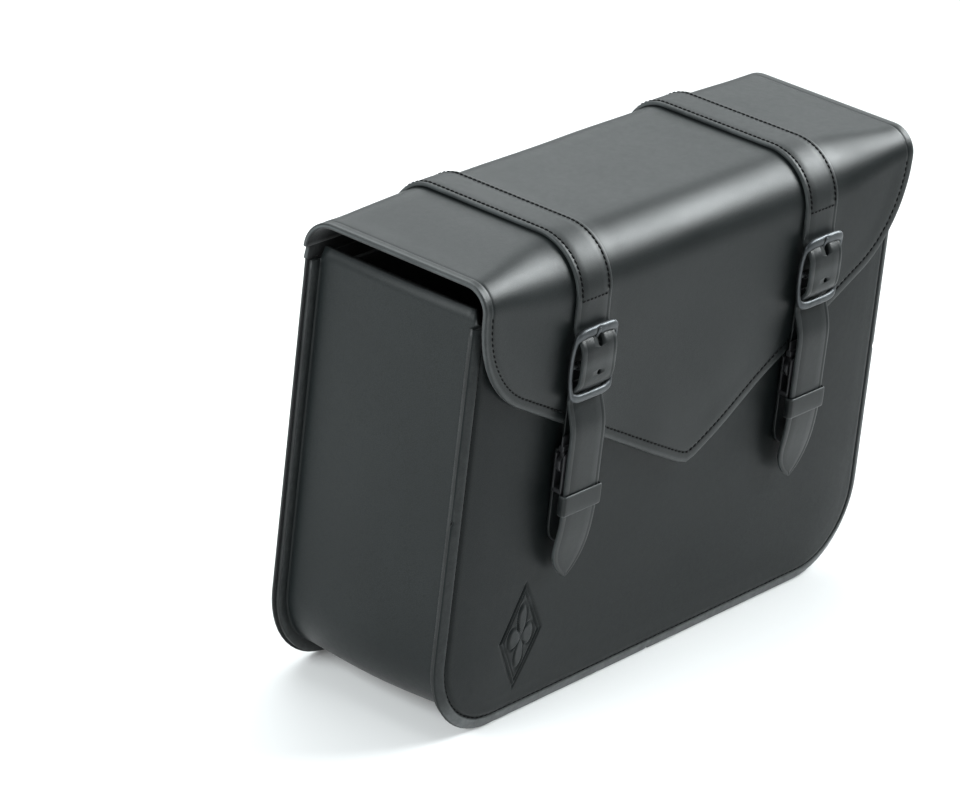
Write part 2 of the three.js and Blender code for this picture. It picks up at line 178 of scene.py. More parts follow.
def noise_field(tree, vector, scale, detail, rough):
    inputs = {"Vector": vector, "Scale": scale, "Detail": detail, "Roughness": rough}
    return node(tree, "ShaderNodeTexNoise", inputs).outputs["Fac"]


def wave(tree, vector, direction, scale, distortion):
    inputs = {"Vector": vector, "Scale": scale, "Distortion": distortion}
    made = node(tree, "ShaderNodeTexWave", inputs, wave_type="BANDS", bands_direction=direction)
    return made.outputs["Fac"]


def spread(tree, value, from_low, from_high, to_low=0.0, to_high=1.0):
    inputs = {"From Min": from_low, "From Max": from_high, "To Min": to_low, "To Max": to_high}
    return node(tree, "ShaderNodeMapRange", {"Value": value, **inputs}).outputs["Result"]


def maths(tree, operation, first, second):
    return node(tree, "ShaderNodeMath", {0: first, 1: second}, operation=operation).outputs["Value"]


def weighted(tree, first, share, second):
    """The sum of two fields, with a given share of the first."""
    shares = ((first, share), (second, 1 - share))
    return maths(tree, "ADD", *(maths(tree, "MULTIPLY", *pair) for pair in shares))


def blend_tones(tree, factor, dark, light):
    """dark and light are colours or sockets. The node's colour sockets share their names with others."""
    made = node(tree, "ShaderNodeMix", {0: factor}, data_type="RGBA")
    colour_inputs = [s for s in made.inputs if s.type == "RGBA"]
    for socket, value in zip(colour_inputs, (dark, light)):
        plug(tree, value, socket)
    return next(s for s in made.outputs if s.type == "RGBA")


def colour(tree, shader, factor, dark, light):
    plug(tree, blend_tones(tree, factor, dark, light), shader.inputs["Base Color"])


def vary_roughness(tree, shader, field, limits):
    plug(tree, spread(tree, field, 0.3, 0.7, *limits), shader.inputs["Roughness"])


def bump(tree, shader, heights):
    """heights: (socket, strength, distance in metres), coarse to fine."""
    inputs = {}
    for height, strength, distance in heights:
        inputs.update({"Height": height, "Strength": strength, "Distance": distance})
        inputs["Normal"] = node(tree, "ShaderNodeBump", inputs).outputs["Normal"]
    plug(tree, inputs["Normal"], shader.inputs["Normal"])


def grain(tree, vector, scale):
    """Leather grain: rounded cells with creases between them."""
    inputs = {"Vector": vector, "Scale": scale, "Randomness": 0.95}
    cells = node(tree, "ShaderNodeTexVoronoi", inputs, feature="DISTANCE_TO_EDGE")
    return spread(tree, cells.outputs["Distance"], 0.0, 0.22)


def wear_and_painted_light_mask(tree):
    """How much the surface is lightened: rubbing, and on some pieces painted light. Written on the mesh,
    mostly from the distance to its edges.
    """
    return node(tree, "ShaderNodeAttribute", {}, attribute_name="wear_and_painted_light").outputs["Fac"]


def leather(name, dark, light, roughness=(0.36, 0.5), specular=0.3, grain_scale=900, depth=0.16):
    material, tree, shader = new_material(name, specular=specular)
    vector = coordinates(tree)
    cloudy = noise_field(tree, vector, 9, 4, 0.6)
    fine = noise_field(tree, vector, 240, 4, 0.65)
    cells = grain(tree, vector, grain_scale)
    tone = blend_tones(tree, spread(tree, cloudy, *MIDDLE), dark, light)
    creased = blend_tones(tree, cells, tuple(c * 0.75 for c in dark), tone)
    # rubbed: the lighter tone of rubbed leather, which the mask also lays down as painted light and painted
    # highlights.
    rubbed = tuple(c * 2.4 + 0.12 for c in light)
    wear_and_painted_light = maths(tree, "MULTIPLY", wear_and_painted_light_mask(tree), spread(tree, fine, 0.35, 0.7, 0.6))
    colour(tree, shader, wear_and_painted_light, creased, rubbed)
    vary_roughness(tree, shader, weighted(tree, cloudy, 0.6, fine), roughness)
    bump(tree, shader, [(cloudy, 0.25, 0.0006), (fine, 0.18, 0.0002), (cells, depth, 0.00012)])
    return material


def suede(name, dark, light):
    material, tree, shader = new_material(name, roughness=0.92, specular=0.2, sheen=0.25)
    fibres = noise_field(tree, coordinates(tree, (1, 1, 0.35)), 700, 5, 0.7)
    cloudy = noise_field(tree, coordinates(tree), 22, 4, 0.6)
    colour(tree, shader, spread(tree, weighted(tree, fibres, 0.5, cloudy), *MIDDLE), dark, light)
    bump(tree, shader, [(cloudy, 0.3, 0.0006), (fibres, 0.5, 0.0003)])
    return material


def cut_edge(name, dark, light):
    """A burnished cut edge: fibre layers along the sheet."""
    material, tree, shader = new_material(name, specular=0.35)
    vector = coordinates(tree)
    layers = noise_field(tree, vector, 520, 3, 0.6)
    cloudy = noise_field(tree, vector, 40, 3, 0.5)
    colour(tree, shader, spread(tree, cloudy, *MIDDLE), dark, light)
    vary_roughness(tree, shader, layers, (0.4, 0.6))
    bump(tree, shader, [(layers, 0.35, 0.0003)])
    return material


def thread(name, dark, light):
    material, tree, shader = new_material(name, roughness=0.75, specular=0.12)
    vector = coordinates(tree)
    plies = wave(tree, vector, "DIAGONAL", 420, 0.6)
    fuzz = noise_field(tree, vector, 900, 2, 0.6)
    colour(tree, shader, plies, dark, light)
    bump(tree, shader, [(plies, 0.5, 0.0002), (fuzz, 0.2, 0.0001)])
    return material


def dark_metal(name, dark, light):
    """Satin plated metal with fine brushing and small scratches."""
    material, tree, shader = new_material(name, metallic=1.0)
    cloudy = noise_field(tree, coordinates(tree), 60, 4, 0.6)
    brushing = noise_field(tree, coordinates(tree, (1, 1, 14)), 260, 4, 0.6)
    scratches = noise_field(tree, coordinates(tree, (12, 1, 1)), 420, 2, 0.5)
    colour(tree, shader, spread(tree, cloudy, 0.35, 0.7), dark, light)
    vary_roughness(tree, shader, weighted(tree, cloudy, 0.5, brushing), (0.4, 0.56))
    bump(tree, shader, [(brushing, 0.12, 0.0001), (scratches, 0.08, 0.0001)])
    return material


def moulded_plastic(name, dark, light):
    material, tree, shader = new_material(name, specular=0.45)
    vector = coordinates(tree)
    texture = noise_field(tree, vector, 1400, 3, 0.6)
    cloudy = noise_field(tree, vector, 30, 3, 0.5)
    colour(tree, shader, spread(tree, cloudy, *MIDDLE), dark, light)
    vary_roughness(tree, shader, texture, (0.34, 0.5))
    bump(tree, shader, [(texture, 0.25, 0.0001)])
    return material


def woven(name, dark, light):
    """Flat webbing: ribs along X crossed by finer picks along Z."""
    material, tree, shader = new_material(name, roughness=0.8, specular=0.25, sheen=0.3)
    vector = coordinates(tree)
    ribs = wave(tree, vector, "Z", 210, 0.4)
    picks = wave(tree, vector, "X", 330, 0.5)
    weave = maths(tree, "MULTIPLY", ribs, spread(tree, picks, 0, 1, 0.45))
    cloudy = noise_field(tree, vector, 50, 4, 0.6)
    fuzz = noise_field(tree, vector, 1200, 2, 0.6)
    tone = maths(tree, "MULTIPLY", weave, spread(tree, cloudy, 0.3, 0.7, 0.7, 1.1))
    colour(tree, shader, tone, dark, light)
    bump(tree, shader, [(weave, 0.7, 0.0004), (fuzz, 0.25, 0.0002)])
    return material


CASE = leather("case_leather", (0.006, 0.0082, 0.0085), (0.0098, 0.0126, 0.013), specular=0.16)
# Painted light: the gusset is the case's own leather, given a lighter and shinier copy to stand for the
# light on that side.
GUSSET_LIT_LEATHER = leather("gusset_leather_painted_light", (0.0065, 0.0088, 0.0091), (0.0108, 0.0138, 0.0142), specular=0.23)
LID = leather("lid_leather", (0.0072, 0.0096, 0.0099), (0.0115, 0.0146, 0.0149), (0.31, 0.44), 0.23)
STRAP = leather(
    "strap_leather", (0.008, 0.0102, 0.0105), (0.013, 0.016, 0.0163), grain_scale=1100, depth=0.12
)
LINING = suede("lining_suede", (0.014, 0.015, 0.0155), (0.03, 0.031, 0.032))
EDGE = cut_edge("leather_edge", (0.022, 0.0255, 0.026), (0.05, 0.056, 0.057))
# A near-black dyed cut edge, darkened further as painted shade: it stands for the shadow line where the
# panels meet the gusset.
DYED_EDGE_AND_SHADE = cut_edge("case_edge_dyed_and_painted_shade", (0.004, 0.0048, 0.005), (0.012, 0.0138, 0.014))
THREAD = thread("black_thread", (0.002, 0.002, 0.0021), (0.007, 0.0073, 0.0075))
METAL = dark_metal("buckle_metal", (0.07, 0.075, 0.08), (0.13, 0.137, 0.143))
PLASTIC = moulded_plastic("clip_plastic", (0.008, 0.008, 0.009), (0.016, 0.016, 0.018))
WEBBING = woven("webbing_weave", (0.006, 0.0065, 0.007), (0.026, 0.028, 0.029))
BOARD = suede("board_fibre", (0.02, 0.021, 0.022), (0.04, 0.042, 0.043))


# ---- mesh helpers

def add_object(name, data):
    made = bpy.data.objects.new(name, data)
    bpy.context.scene.collection.objects.link(made)
    return made


def new_mesh(name, points, faces):
    """A mesh from points in millimetres."""
    mesh = bpy.data.meshes.new(name)
    mesh.from_pydata([Vector(p) * MM for p in points], [], faces)
    return mesh


def face_outwards(mesh):
    made = bmesh.new()
    made.from_mesh(mesh)
    bmesh.ops.recalc_face_normals(made, faces=made.faces)
    made.to_mesh(mesh)
    made.free()
    mesh.update()


def make_piece(name, points, faces, shades, materials, body, replaced=()):
    """A smooth mesh from points in millimetres, fixed to a body of the frame if one is named."""
    mesh = new_mesh(name, points, faces)
    for material in materials:
        mesh.materials.append(material)
    mesh.polygons.foreach_set("material_index", shades)
    mesh.polygons.foreach_set("use_smooth", [True] * len(faces))
    face_outwards(mesh)
    piece = add_object(name, mesh)
    if body:
        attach(piece, body)
    if replaced:
        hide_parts(*replaced)
    return piece


def shell(name, outer, inner, materials, body, replaced=(), fill=False, rim_columns=()):
    """A sheet with thickness.

    outer and inner are rows of matching points, joined by walls at the borders. materials are those of
    the outside, the cut edge and the inside. fill closes the hole inside the last row. rim_columns are
    strips of the outside that show the cut edge.
    """
    rows, columns = len(outer), len(outer[0])
    last, end = rows - 1, columns - 1
    half = rows * columns
    faces, shades = [], []

    def at(i, j):
        return i * columns + j

    def add(corners, shade):
        faces.append(tuple(corners))
        shades.append(shade)

    def wall(a, b):
        add((b, a, a + half, b + half), 1)

    for i in range(last):
        for j in range(end):
            a, b, c, d = at(i, j), at(i, j + 1), at(i + 1, j + 1), at(i + 1, j)
            add((a, b, c, d), int(j in rim_columns))
            add((half + a, half + d, half + c, half + b), 2)
    for j in range(end):
        wall(at(0, j), at(0, j + 1))
        if not fill:
            wall(at(last, j + 1), at(last, j))
    for i in range(last):
        wall(at(i + 1, 0), at(i, 0))
        wall(at(i, end), at(i + 1, end))
    if fill:
        lowest = min(p[2] for p in outer[last]) + 0.01
        rungs = sum(p[2] > lowest for p in outer[last]) // 2
        patches = [(j, j + 1, end - j - 1, end - j) for j in range(rungs - 1)]
        patches.append(range(rungs - 1, end - rungs + 2))
        for patch in patches:
            add((at(last, k) for k in patch), 0)
            add((half + at(last, k) for k in reversed(patch)), 2)
        wall(at(last, end), at(last, 0))
    points = [p for row in outer + inner for p in row]
    return make_piece(name, points, faces, shades, materials, body, replaced)


def tube_faces(first, rings, columns, closed=False):
    """Faces through rings of points, capped at both ends unless the tube closes on itself."""
    faces = []
    for i in range(rings if closed else rings - 1):
        here, there = first + i * columns, first + (i + 1) % rings * columns
        for j in range(columns):
            k = (j + 1) % columns
            faces.append((here + j, here + k, there + k, there + j))
    if not closed:
        last = first + (rings - 1) * columns
        faces.append(tuple(reversed(range(first, first + columns))))
        faces.append(tuple(range(last, last + columns)))
    return faces


def loft(name, loops, materials, body, replaced=(), closed=False, shade_of=lambda j: 0):
    """A tube through matching loops of points. shade_of gives a column's material; caps have the last."""
    columns = len(loops[0])
    points = [p for loop in loops for p in loop]
    faces = tube_faces(0, len(loops), columns, closed)
    strips = len(loops) if closed else len(loops) - 1
    shades = [shade_of(j) for j in range(columns)] * strips
    shades += [len(materials) - 1] * (len(faces) - len(shades))
    return make_piece(name, points, faces, shades, materials, body, replaced)


def write_wear_and_painted_light(piece, amount):
    """amount(x, y, z in millimetres) gives how much each point is lightened, from 0 to 1: rubbing, and on
    some pieces painted light.
    """
    mesh = piece.data
    layer = mesh.attributes.new("wear_and_painted_light", "FLOAT", "POINT")
    layer.data.foreach_set("value", [min(max(amount(*(v.co / MM)), 0), 1) for v in mesh.vertices])


def smooth_step(value):
    t = min(max(value, 0), 1)
    return t * t * (3 - 2 * t)


def hump(distance, reach):
    """1 where the distance is 0, falling to 0 at a given reach on both sides."""
    return smooth_step(1 - abs(distance) / reach)


def ripple(x, y, z, size):
    """Soft unevenness between -1 and 1, with a given size in millimetres."""
    return noise.noise(Vector((x, y, z)) / size)


def spline(points, steps):
    """A smooth path through 2-D points."""
    made = []
    padded = [points[0], *points, points[-1]]
    for i in range(1, len(padded) - 2):
        a, b, c, d = (Vector(p) for p in padded[i - 1 : i + 3])
        for k in range(steps):
            t = k / steps
            curve = (2 * a - 5 * b + 4 * c - d) * t**2 + (3 * b - a - 3 * c + d) * t**3
            made.append(0.5 * (2 * b + (c - a) * t + curve))
    made.append(Vector(points[-1]))
    return made


def arc(centre, radius, start, end, steps):
    """Points on an arc, from start to end degrees."""
    made = []
    for i in range(steps + 1):
        angle = math.radians(start + (end - start) * i / steps)
        made.append(Vector((centre[0] + radius * math.cos(angle), centre[1] + radius * math.sin(angle))))
    return made


def oval(half_width, half_height, count, centre=(0, 0)):
    """Points round an ellipse, the first on its right."""
    made = []
    for i in range(count):
        angle = 2 * math.pi * i / count
        made.append((centre[0] + half_width * math.cos(angle), centre[1] + half_height * math.sin(angle)))
    return made


def walk(points, pitch, start=0.0):
    """(index, share of that segment) at equal distances along a path."""
    found = []
    travelled, wanted = 0.0, start
    for i in range(len(points) - 1):
        length = (Vector(points[i + 1]) - Vector(points[i])).length
        while length > 0 and travelled + length >= wanted:
            found.append((i, (wanted - travelled) / length))
            wanted += pitch
        travelled += length
    return found


# A stitch's rings: place along it, thickness and height, as shares of its half length and radius.
STITCH_RINGS = (
    (-1, 0.15, -0.55), (-0.86, 0.7, -0.1), (-0.4, 1, 0.32),
    (0.4, 1, 0.32), (0.86, 0.7, -0.1), (1, 0.15, -0.55),
)
STITCH_SIDES = 6
STITCH_SLANT = math.radians(9)
FRONTWARDS, BACKWARDS = (0, -1, 0), (0, 1, 0)

# Pitch, length and radius of the stitches.
RIM_STITCH = (4.4, 3.3, 0.46)
LID_STITCH = (4.0, 3.2, 0.58)
STRAP_STITCH = (3.4, 2.8, 0.52)
LOOP_STITCH = (2.6, 2.0, 0.34)
BAND_STITCH = (3.6, 2.7, 0.38)


def stitches(name, path, normals, body, size):
    """A row of sewn stitches along a path, each sunk at both ends, as one mesh."""
    pitch, length, radius = size
    points, faces = [], []
    for index, share in walk(path, pitch, pitch / 2):
        here, there = Vector(path[index]), Vector(path[index + 1])
        centre = here.lerp(there, share)
        normal = Vector(normals[index]).lerp(Vector(normals[index + 1]), share).normalized()
        tangent = Matrix.Rotation(STITCH_SLANT, 3, normal) @ (there - here).normalized()
        across = normal.cross(tangent).normalized()
        faces += tube_faces(len(points), len(STITCH_RINGS), STITCH_SIDES)
        for along, width, lift in STITCH_RINGS:
            middle = centre + tangent * (along * length / 2) + normal * (lift * radius)
            ring = oval(radius * width, radius * width, STITCH_SIDES)
            points += [middle + across * u + normal * w for u, w in ring]
    return make_piece(name, points, faces, [0] * len(faces), [THREAD], body)


def straight_stitches(name, ends, y, z, facing, body, size):
    stitches(name, [(x, y, z) for x in ends], [facing, facing], body, size)


def refine(node_name, piece_name, material, width):
    """A copy of a CAD node with rounded edges, which stands for it."""
    source = frame["nodes"][node_name]
    piece = add_object(piece_name, source.data.copy())
    made = bmesh.new()
    made.from_mesh(piece.data)
    bmesh.ops.remove_doubles(made, verts=made.verts, dist=1e-6)
    bmesh.ops.dissolve_limit(made, angle_limit=math.radians(2), verts=made.verts, edges=made.edges)
    sharp = [e for e in made.edges if len(e.link_faces) == 2 and e.calc_face_angle(0) > math.radians(35)]
    bmesh.ops.bevel(
        made, geom=sharp, offset=width * MM, segments=3, profile=0.5, affect="EDGES", clamp_overlap=True
    )
    bmesh.ops.recalc_face_normals(made, faces=made.faces)
    for face in made.faces:
        face.smooth = True
        face.material_index = 0
    made.to_mesh(piece.data)
    made.free()
    piece.data.materials.clear()
    piece.data.materials.append(material)
    piece.data.set_sharp_from_angle(angle=math.radians(50))
    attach(piece, source["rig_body"])
    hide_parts(node_name)


def prism_along_y(outline, y0, y1):
    """A solid with an (x, z) outline, for cutting holes."""
    points = [(x, y, z) for y in (y0, y1) for x, z in outline]
    mesh = new_mesh("cutter", points, tube_faces(0, 2, len(outline)))
    face_outwards(mesh)
    return add_object("cutter", mesh)


def cut(piece, cutters):
    """Cuts solids out of a piece and removes them."""
    for cutter in cutters:
        modifier = piece.modifiers.new("cut", "BOOLEAN")
        modifier.operation = "DIFFERENCE"
        modifier.solver = "EXACT"
        modifier.object = cutter
    bpy.context.view_layer.update()
    evaluated = piece.evaluated_get(bpy.context.evaluated_depsgraph_get())
    mesh = bpy.data.meshes.new_from_object(evaluated)
    piece.modifiers.clear()
    old = piece.data
    name = old.name
    piece.data = mesh
    bpy.data.meshes.remove(old)
    mesh.name = name
    for cutter in cutters:
        bpy.data.objects.remove(cutter)


# ---- camera and studio

CAMERA_AZIMUTH, CAMERA_ELEVATION, CAMERA_ROLL = (math.radians(a) for a in (-52.507, 24.071, 6.216))
CAMERA_POSITION = (-2.2343, -1.6234, 1.376)
CAMERA_LENS = 185.64


def place_camera():
    """The viewing angle: from the buckle side's left, looking down, rolled a little."""
    camera = add_object("camera", bpy.data.cameras.new("camera"))
    camera.data.lens = CAMERA_LENS
    camera.data.sensor_width = 36
    camera.data.clip_end = 50
    matrix = Matrix.Translation(CAMERA_POSITION)
    for angle, axis in ((CAMERA_AZIMUTH, "Z"), (math.pi / 2 - CAMERA_ELEVATION, "X"), (CAMERA_ROLL, "Z")):
        matrix @= Matrix.Rotation(angle, 4, axis)
    camera.matrix_world = matrix
    bpy.context.scene.camera = camera


def area_light(name, position, target, width, height, power, spread_degrees=180):
    light = bpy.data.lights.new(name, "AREA")
    light.spread = math.radians(spread_degrees)
    light.shape = "RECTANGLE"
    light.size, light.size_y, light.energy = width, height, power
    light.color = (0.94, 0.99, 1.0)
    direction = Vector(target) - Vector(position)
    rotation = direction.to_track_quat("-Z", "Y").to_matrix().to_4x4()
    add_object(name, light).matrix_world = Matrix.Translation(position) @ rotation


def build_studio():
    bpy.context.scene.view_settings.view_transform = "Standard"
    world = bpy.data.worlds.new("studio")
    world.use_nodes = True
    background = world.node_tree.nodes["Background"]
    background.inputs["Color"].default_value = (0.93, 0.99, 1.0, 1)
    background.inputs["Strength"].default_value = 0.32
    bpy.context.scene.world = world
    half = 12 / MM
    corners = [(-half, -half, 0), (half, -half, 0), (half, half, 0), (-half, half, 0)]
    mesh = new_mesh("floor", corners, [(0, 1, 2, 3)])
    floor = add_object("floor", mesh)
    material, tree, shader = new_material("floor", roughness=0.7, specular=0.2)
    faint = noise_field(tree, coordinates(tree), 3, 2, 0.5)
    colour(tree, shader, faint, (0.79, 0.79, 0.79), (0.81, 0.81, 0.81))
    shader.inputs["Emission Color"].default_value = (1, 1, 1, 1)
    shader.inputs["Emission Strength"].default_value = 0.1
    mesh.materials.append(material)
    area_light("softbox_above", (0.3, 1.1, 2.2), (0, 0, 0.2), 2.4, 1.8, 36)
    area_light("softbox_behind", (1.9, 1.3, 1.3), (0, 0, 0.3), 2.5, 1.3, 19)
    area_light("softbox_crest", (1.66, -0.55, 1.4), (0, 0.05, 0.42), 1.8, 0.8, 14, 60)
    area_light("softbox_left", (-1.9, 0.5, 1.2), (0, 0, 0.15), 1.2, 1.2, 48)


# ---- the case

NOTCH_Z = 149
NOTCH_REACH = 2.3
NOTCH_INSET = 3
NOTCH_STEPS = {11: -NOTCH_REACH, 12: 0, 13: NOTCH_REACH}


def panel_line(inset, top_z, side_steps=26, corner_steps=14, bottom_steps=44):
    """Sides and bottom of a panel, moved inwards by an inset, from the top left round the bottom."""
    radius = max(CORNER_RADIUS - inset, SMALLEST_RADIUS)

    def half_at(z):
        return PANEL_HALF_BOTTOM - inset - PANEL_LEAN * z

    low = inset + radius
    corner_x = half_at(low) - radius
    right = arc((corner_x, low), radius, -90, 0, corner_steps)
    for i in range(1, side_steps + 1):
        z = low + (top_z - low) * i / side_steps
        if low == CORNER_RADIUS and i in NOTCH_STEPS:
            z = NOTCH_Z + NOTCH_STEPS[i]
        right.append(Vector((half_at(z), z)))
    left = [Vector((-p.x, p.y)) for p in reversed(right)]
    step = 2 * corner_x / bottom_steps
    bottom = [Vector((-corner_x + step * i, inset)) for i in range(1, bottom_steps)]
    middle = len(bottom) // 2
    if step > NOTCH_REACH:
        bottom[middle - 1].x, bottom[middle + 1].x = -NOTCH_REACH, NOTCH_REACH
    return left + bottom + right


# Inset from the edge, and how far the leather stands out from the rim plane.
FRONT_RINGS = (
    (0.0, -2.3), (0.35, -1.75), (0.95, -1.25), (1.9, -0.8), (3.1, -0.35), (4.4, 0.05), (5.5, 0.3),
    (6.4, 0.3), (7.1, -0.35), (7.7, -0.8), (8.3, -0.3), (9.0, 0.55), (10.2, 0.9), (12, 1.1),
    (15, 1.35), (19, 1.85), (24, 2.3), (30, 2.75), (38, 3.25), (48, 3.65), (58, 3.85),
    *((inset, 3.95) for inset in (70, 82, 96, 112, 130, 150, 170, 190)),
)
BACK_RINGS = (
    (0.0, -2.0), (0.35, -1.2), (0.95, -0.5), (1.9, -0.1), (3.4, 0.0), (5.2, 0.0), (6.4, -0.25),
    (7.1, -0.75), (7.7, -0.95), (8.4, -0.75), (9.2, -0.3),
    *((inset, 0.0) for inset in (10.4, 14, 22, 34, 48, 64, 82, 100, 120, 140, 165, 190)),
)


def notched(point, inset):
    """Small V-cuts in the outermost rim, where the pattern's pieces were lined up."""
    at_bottom = math.hypot(point.x, point.y)
    away = min(at_bottom, abs(point.y - NOTCH_Z))
    if away >= NOTCH_REACH or inset >= NOTCH_INSET:
        return 0
    return NOTCH_REACH * (1 - away / NOTCH_REACH) * (1 - inset / NOTCH_INSET)


ORNAMENT_X, ORNAMENT_Z = -137, 56
ORNAMENT_HALF_WIDTH, ORNAMENT_HALF_HEIGHT = 19, 35


def ornament_height(x, z):
    """A pressed lozenge with a four-petalled flower: pressed lines are below 0, padded parts above."""
    u = (x - ORNAMENT_X) / ORNAMENT_HALF_WIDTH
    v = (z - ORNAMENT_Z) / ORNAMENT_HALF_HEIGHT
    ring = abs(u) + abs(v)
    if ring > 1.12:
        return 0

    def line(distance, width):
        return math.exp(-((distance / width) ** 2))

    height = -0.75 * line(ring - 0.98, 0.045) - 0.55 * line(ring - 0.84, 0.035)
    height += 0.4 * line(ring - 0.91, 0.04)
    reach = math.hypot(u, v)
    angle = math.atan2(v, u)
    petal = 0.62 * abs(math.cos(2 * angle)) ** 0.55
    if ring < 0.78:
        height += 0.55 * smooth_step((petal - reach) / 0.12) - 0.6 * line(reach - petal, 0.05)
        height -= 0.5 * line(reach, 0.09)
    return height


def press_ornament(piece):
    """Divides the leather finely where the ornament is, and presses it in."""
    made = bmesh.new()
    made.from_mesh(piece.data)
    outside_y = FRONT_Y - 0.5

    def near_ornament(face):
        x, y, z = (c / MM for c in face.calc_center_median())
        across = abs(x - ORNAMENT_X) < ORNAMENT_HALF_WIDTH + 4
        return across and abs(z - ORNAMENT_Z) < ORNAMENT_HALF_HEIGHT + 4 and y < outside_y

    edges = list({e for face in made.faces if near_ornament(face) for e in face.edges})
    bmesh.ops.subdivide_edges(made, edges=edges, cuts=16, use_grid_fill=True)
    for vert in made.verts:
        if vert.co.y < outside_y * MM:
            vert.co.y -= ornament_height(vert.co.x / MM, vert.co.z / MM) * MM
    made.to_mesh(piece.data)
    made.free()
    piece.data.update()


def panel_inset(x, z):
    """Rough distance from the panel's sides and bottom."""
    half = PANEL_HALF_BOTTOM - PANEL_LEAN * z
    side, low = half - abs(x), z
    if side < CORNER_RADIUS and low < CORNER_RADIUS:
        return CORNER_RADIUS - math.hypot(CORNER_RADIUS - side, CORNER_RADIUS - low)
    return min(side, low)


def front_wear_and_painted_light(x, y, z):
    """The rim is painted lighter, most of all along the bottom: partly rubbing, partly a painted reflection
    of the bright floor. The ornament's raised parts get a painted highlight.
    """
    # Rubbing and painted reflection: the rim is lightened, far more along the bottom, which faces the bright
    # floor.
    rim = smooth_step((7.2 - panel_inset(x, z)) / 0.8) * (y < FRONT_Y + 1.4)
    low = smooth_step((CORNER_RADIUS * 0.62 - z) / 24)
    # Painted highlight: the ornament's raised parts are lightened.
    return rim * (0.17 + 0.73 * low) + 0.28 * max(ornament_height(x, z), 0) * (y < FRONT_Y)


def build_panel(node_name, outer, inner):
    materials = [CASE, DYED_EDGE_AND_SHADE, LINING]
    return shell(node_name + "_skin", outer, inner, materials, "bag", [node_name], fill=True)


def sew_rim(name, top_z, y, facing):
    path = [(p.x, y, p.y) for p in panel_line(RIM_STITCH_INSET, top_z - 3)]
    stitches(name, path, [facing] * len(path), "bag", RIM_STITCH)


def build_front_panel():
    outer, inner = [], []
    for inset, height in FRONT_RINGS:
        outer_row, inner_row = [], []
        thickness = 2.6 + 0.4 * smooth_step((inset - 12) / 20)
        under = thickness - max(height, 0) * smooth_step((inset - 9) / 10)
        for point in panel_line(inset, PANEL_TOP_Z):
            cut_in = notched(point, inset)
            x = point.x * (1 - cut_in / PANEL_HALF_BOTTOM)
            z = point.y + (cut_in if point.y < CORNER_RADIUS else 0)
            soft = 0.35 * smooth_step((inset - 12) / 30) * (ripple(x, 0, z, 85) - 0.5)
            outer_row.append((x, FRONT_Y - height - soft, z))
            inner_row.append((x, FRONT_Y + under, z))
        outer.append(outer_row)
        inner.append(inner_row)
    piece = build_panel("front_panel", outer, inner)
    press_ornament(piece)
    write_wear_and_painted_light(piece, front_wear_and_painted_light)
    sew_rim("front_rim_stitches", PANEL_TOP_Z, FRONT_Y + 0.75, FRONTWARDS)


def build_back_panel():
    outer, inner = [], []
    for inset, height in BACK_RINGS:
        line = panel_line(inset, BACK_PANEL_TOP_Z)
        outer.append([(p.x, BACK_Y + height, p.y) for p in line])
        inner.append([(p.x, BACK_Y - LEATHER, p.y) for p in line])
    piece = build_panel("back_panel", outer, inner)
    holes = [oval(5.3, 5.3, 40, (side * EYELET_X, EYELET_Z)) for side in (-1, 1)]
    cut(piece, [prism_along_y(hole, 60, 80) for hole in holes])
    write_wear_and_painted_light(piece, lambda x, y, z: 0.45 * hump(panel_inset(x, z) - 3.2, 3.4))
    sew_rim("back_rim_stitches", BACK_PANEL_TOP_Z, BACK_Y - 0.95, BACKWARDS)


GUSSET_FRONT_Y = FRONT_Y + 3.3
GUSSET_BACK_Y = BACK_Y - 3.3
GUSSET_TOP_Z = 279
GUSSET_CROWN = 2.2
GUSSET_STEPS = 22


def gusset_section():
    """The gusset's cross-section as matching outer and inner (inset, y), with sewn edges turned outwards."""
    front, back = GUSSET_FRONT_Y, GUSSET_BACK_Y
    inside = RIM_WIDTH + LEATHER
    half = [
        ((1.7, 0), (1.9, 0)), ((1.3, 0.5), (2.1, 0)), ((1.3, 2.2), (2.3, 0)), ((1.7, 2.7), (2.5, 0)),
        ((4.6, 2.8), (5.5, 0)), ((7.2, 2.9), (8.5, 0)), ((7.9, 3.2), (10.2, 0.4)),
        ((8.1, 4.2), (inside, 2.2)),
    ]
    outer = [(inset, front + y) for (inset, y), _ in half]
    inner = [(inset, front + y) for _, (inset, y) in half]
    for i in range(GUSSET_STEPS + 1):
        share = i / GUSSET_STEPS
        y = front + 5.5 + (back - front - 11) * share
        outer.append((RIM_WIDTH - GUSSET_CROWN * math.sin(math.pi * share) ** 1.3, y))
        inner.append((inside, y))
    for rows in (outer, inner):
        rows += [(inset, front + back - y) for inset, y in reversed(rows[: len(half)])]
    return outer, inner


def gusset_top(y):
    """The height at which the gusset stops under the closed lid: lower at its sewn edges."""
    from_edge = min(y - GUSSET_FRONT_Y, GUSSET_BACK_Y - y)
    return PANEL_TOP_Z + (GUSSET_TOP_Z - 0.5 - PANEL_TOP_Z) * smooth_step((from_edge - 2.95) / 2.4)


def gusset_rows(section):
    """One cross-section of the gusset at each step round the bag."""
    lines = [panel_line(inset, gusset_top(y)) for inset, y in section]
    rows = []
    for i in range(len(lines[0])):
        row = []
        for (inset, y), line in zip(section, lines):
            point = line[i]
            outwards = Vector((point.x, 0, min(point.y - CORNER_RADIUS, 0) * 1.2)).normalized()
            free = smooth_step((RIM_WIDTH + 0.01 - inset) / 1.2) * smooth_step((inset - 5) / 1)
            soft = 0.5 * ripple(point.x, y, point.y, 60) * free
            row.append((point.x + outwards.x * soft, y, point.y + outwards.z * soft))
        rows.append(row)
    return rows


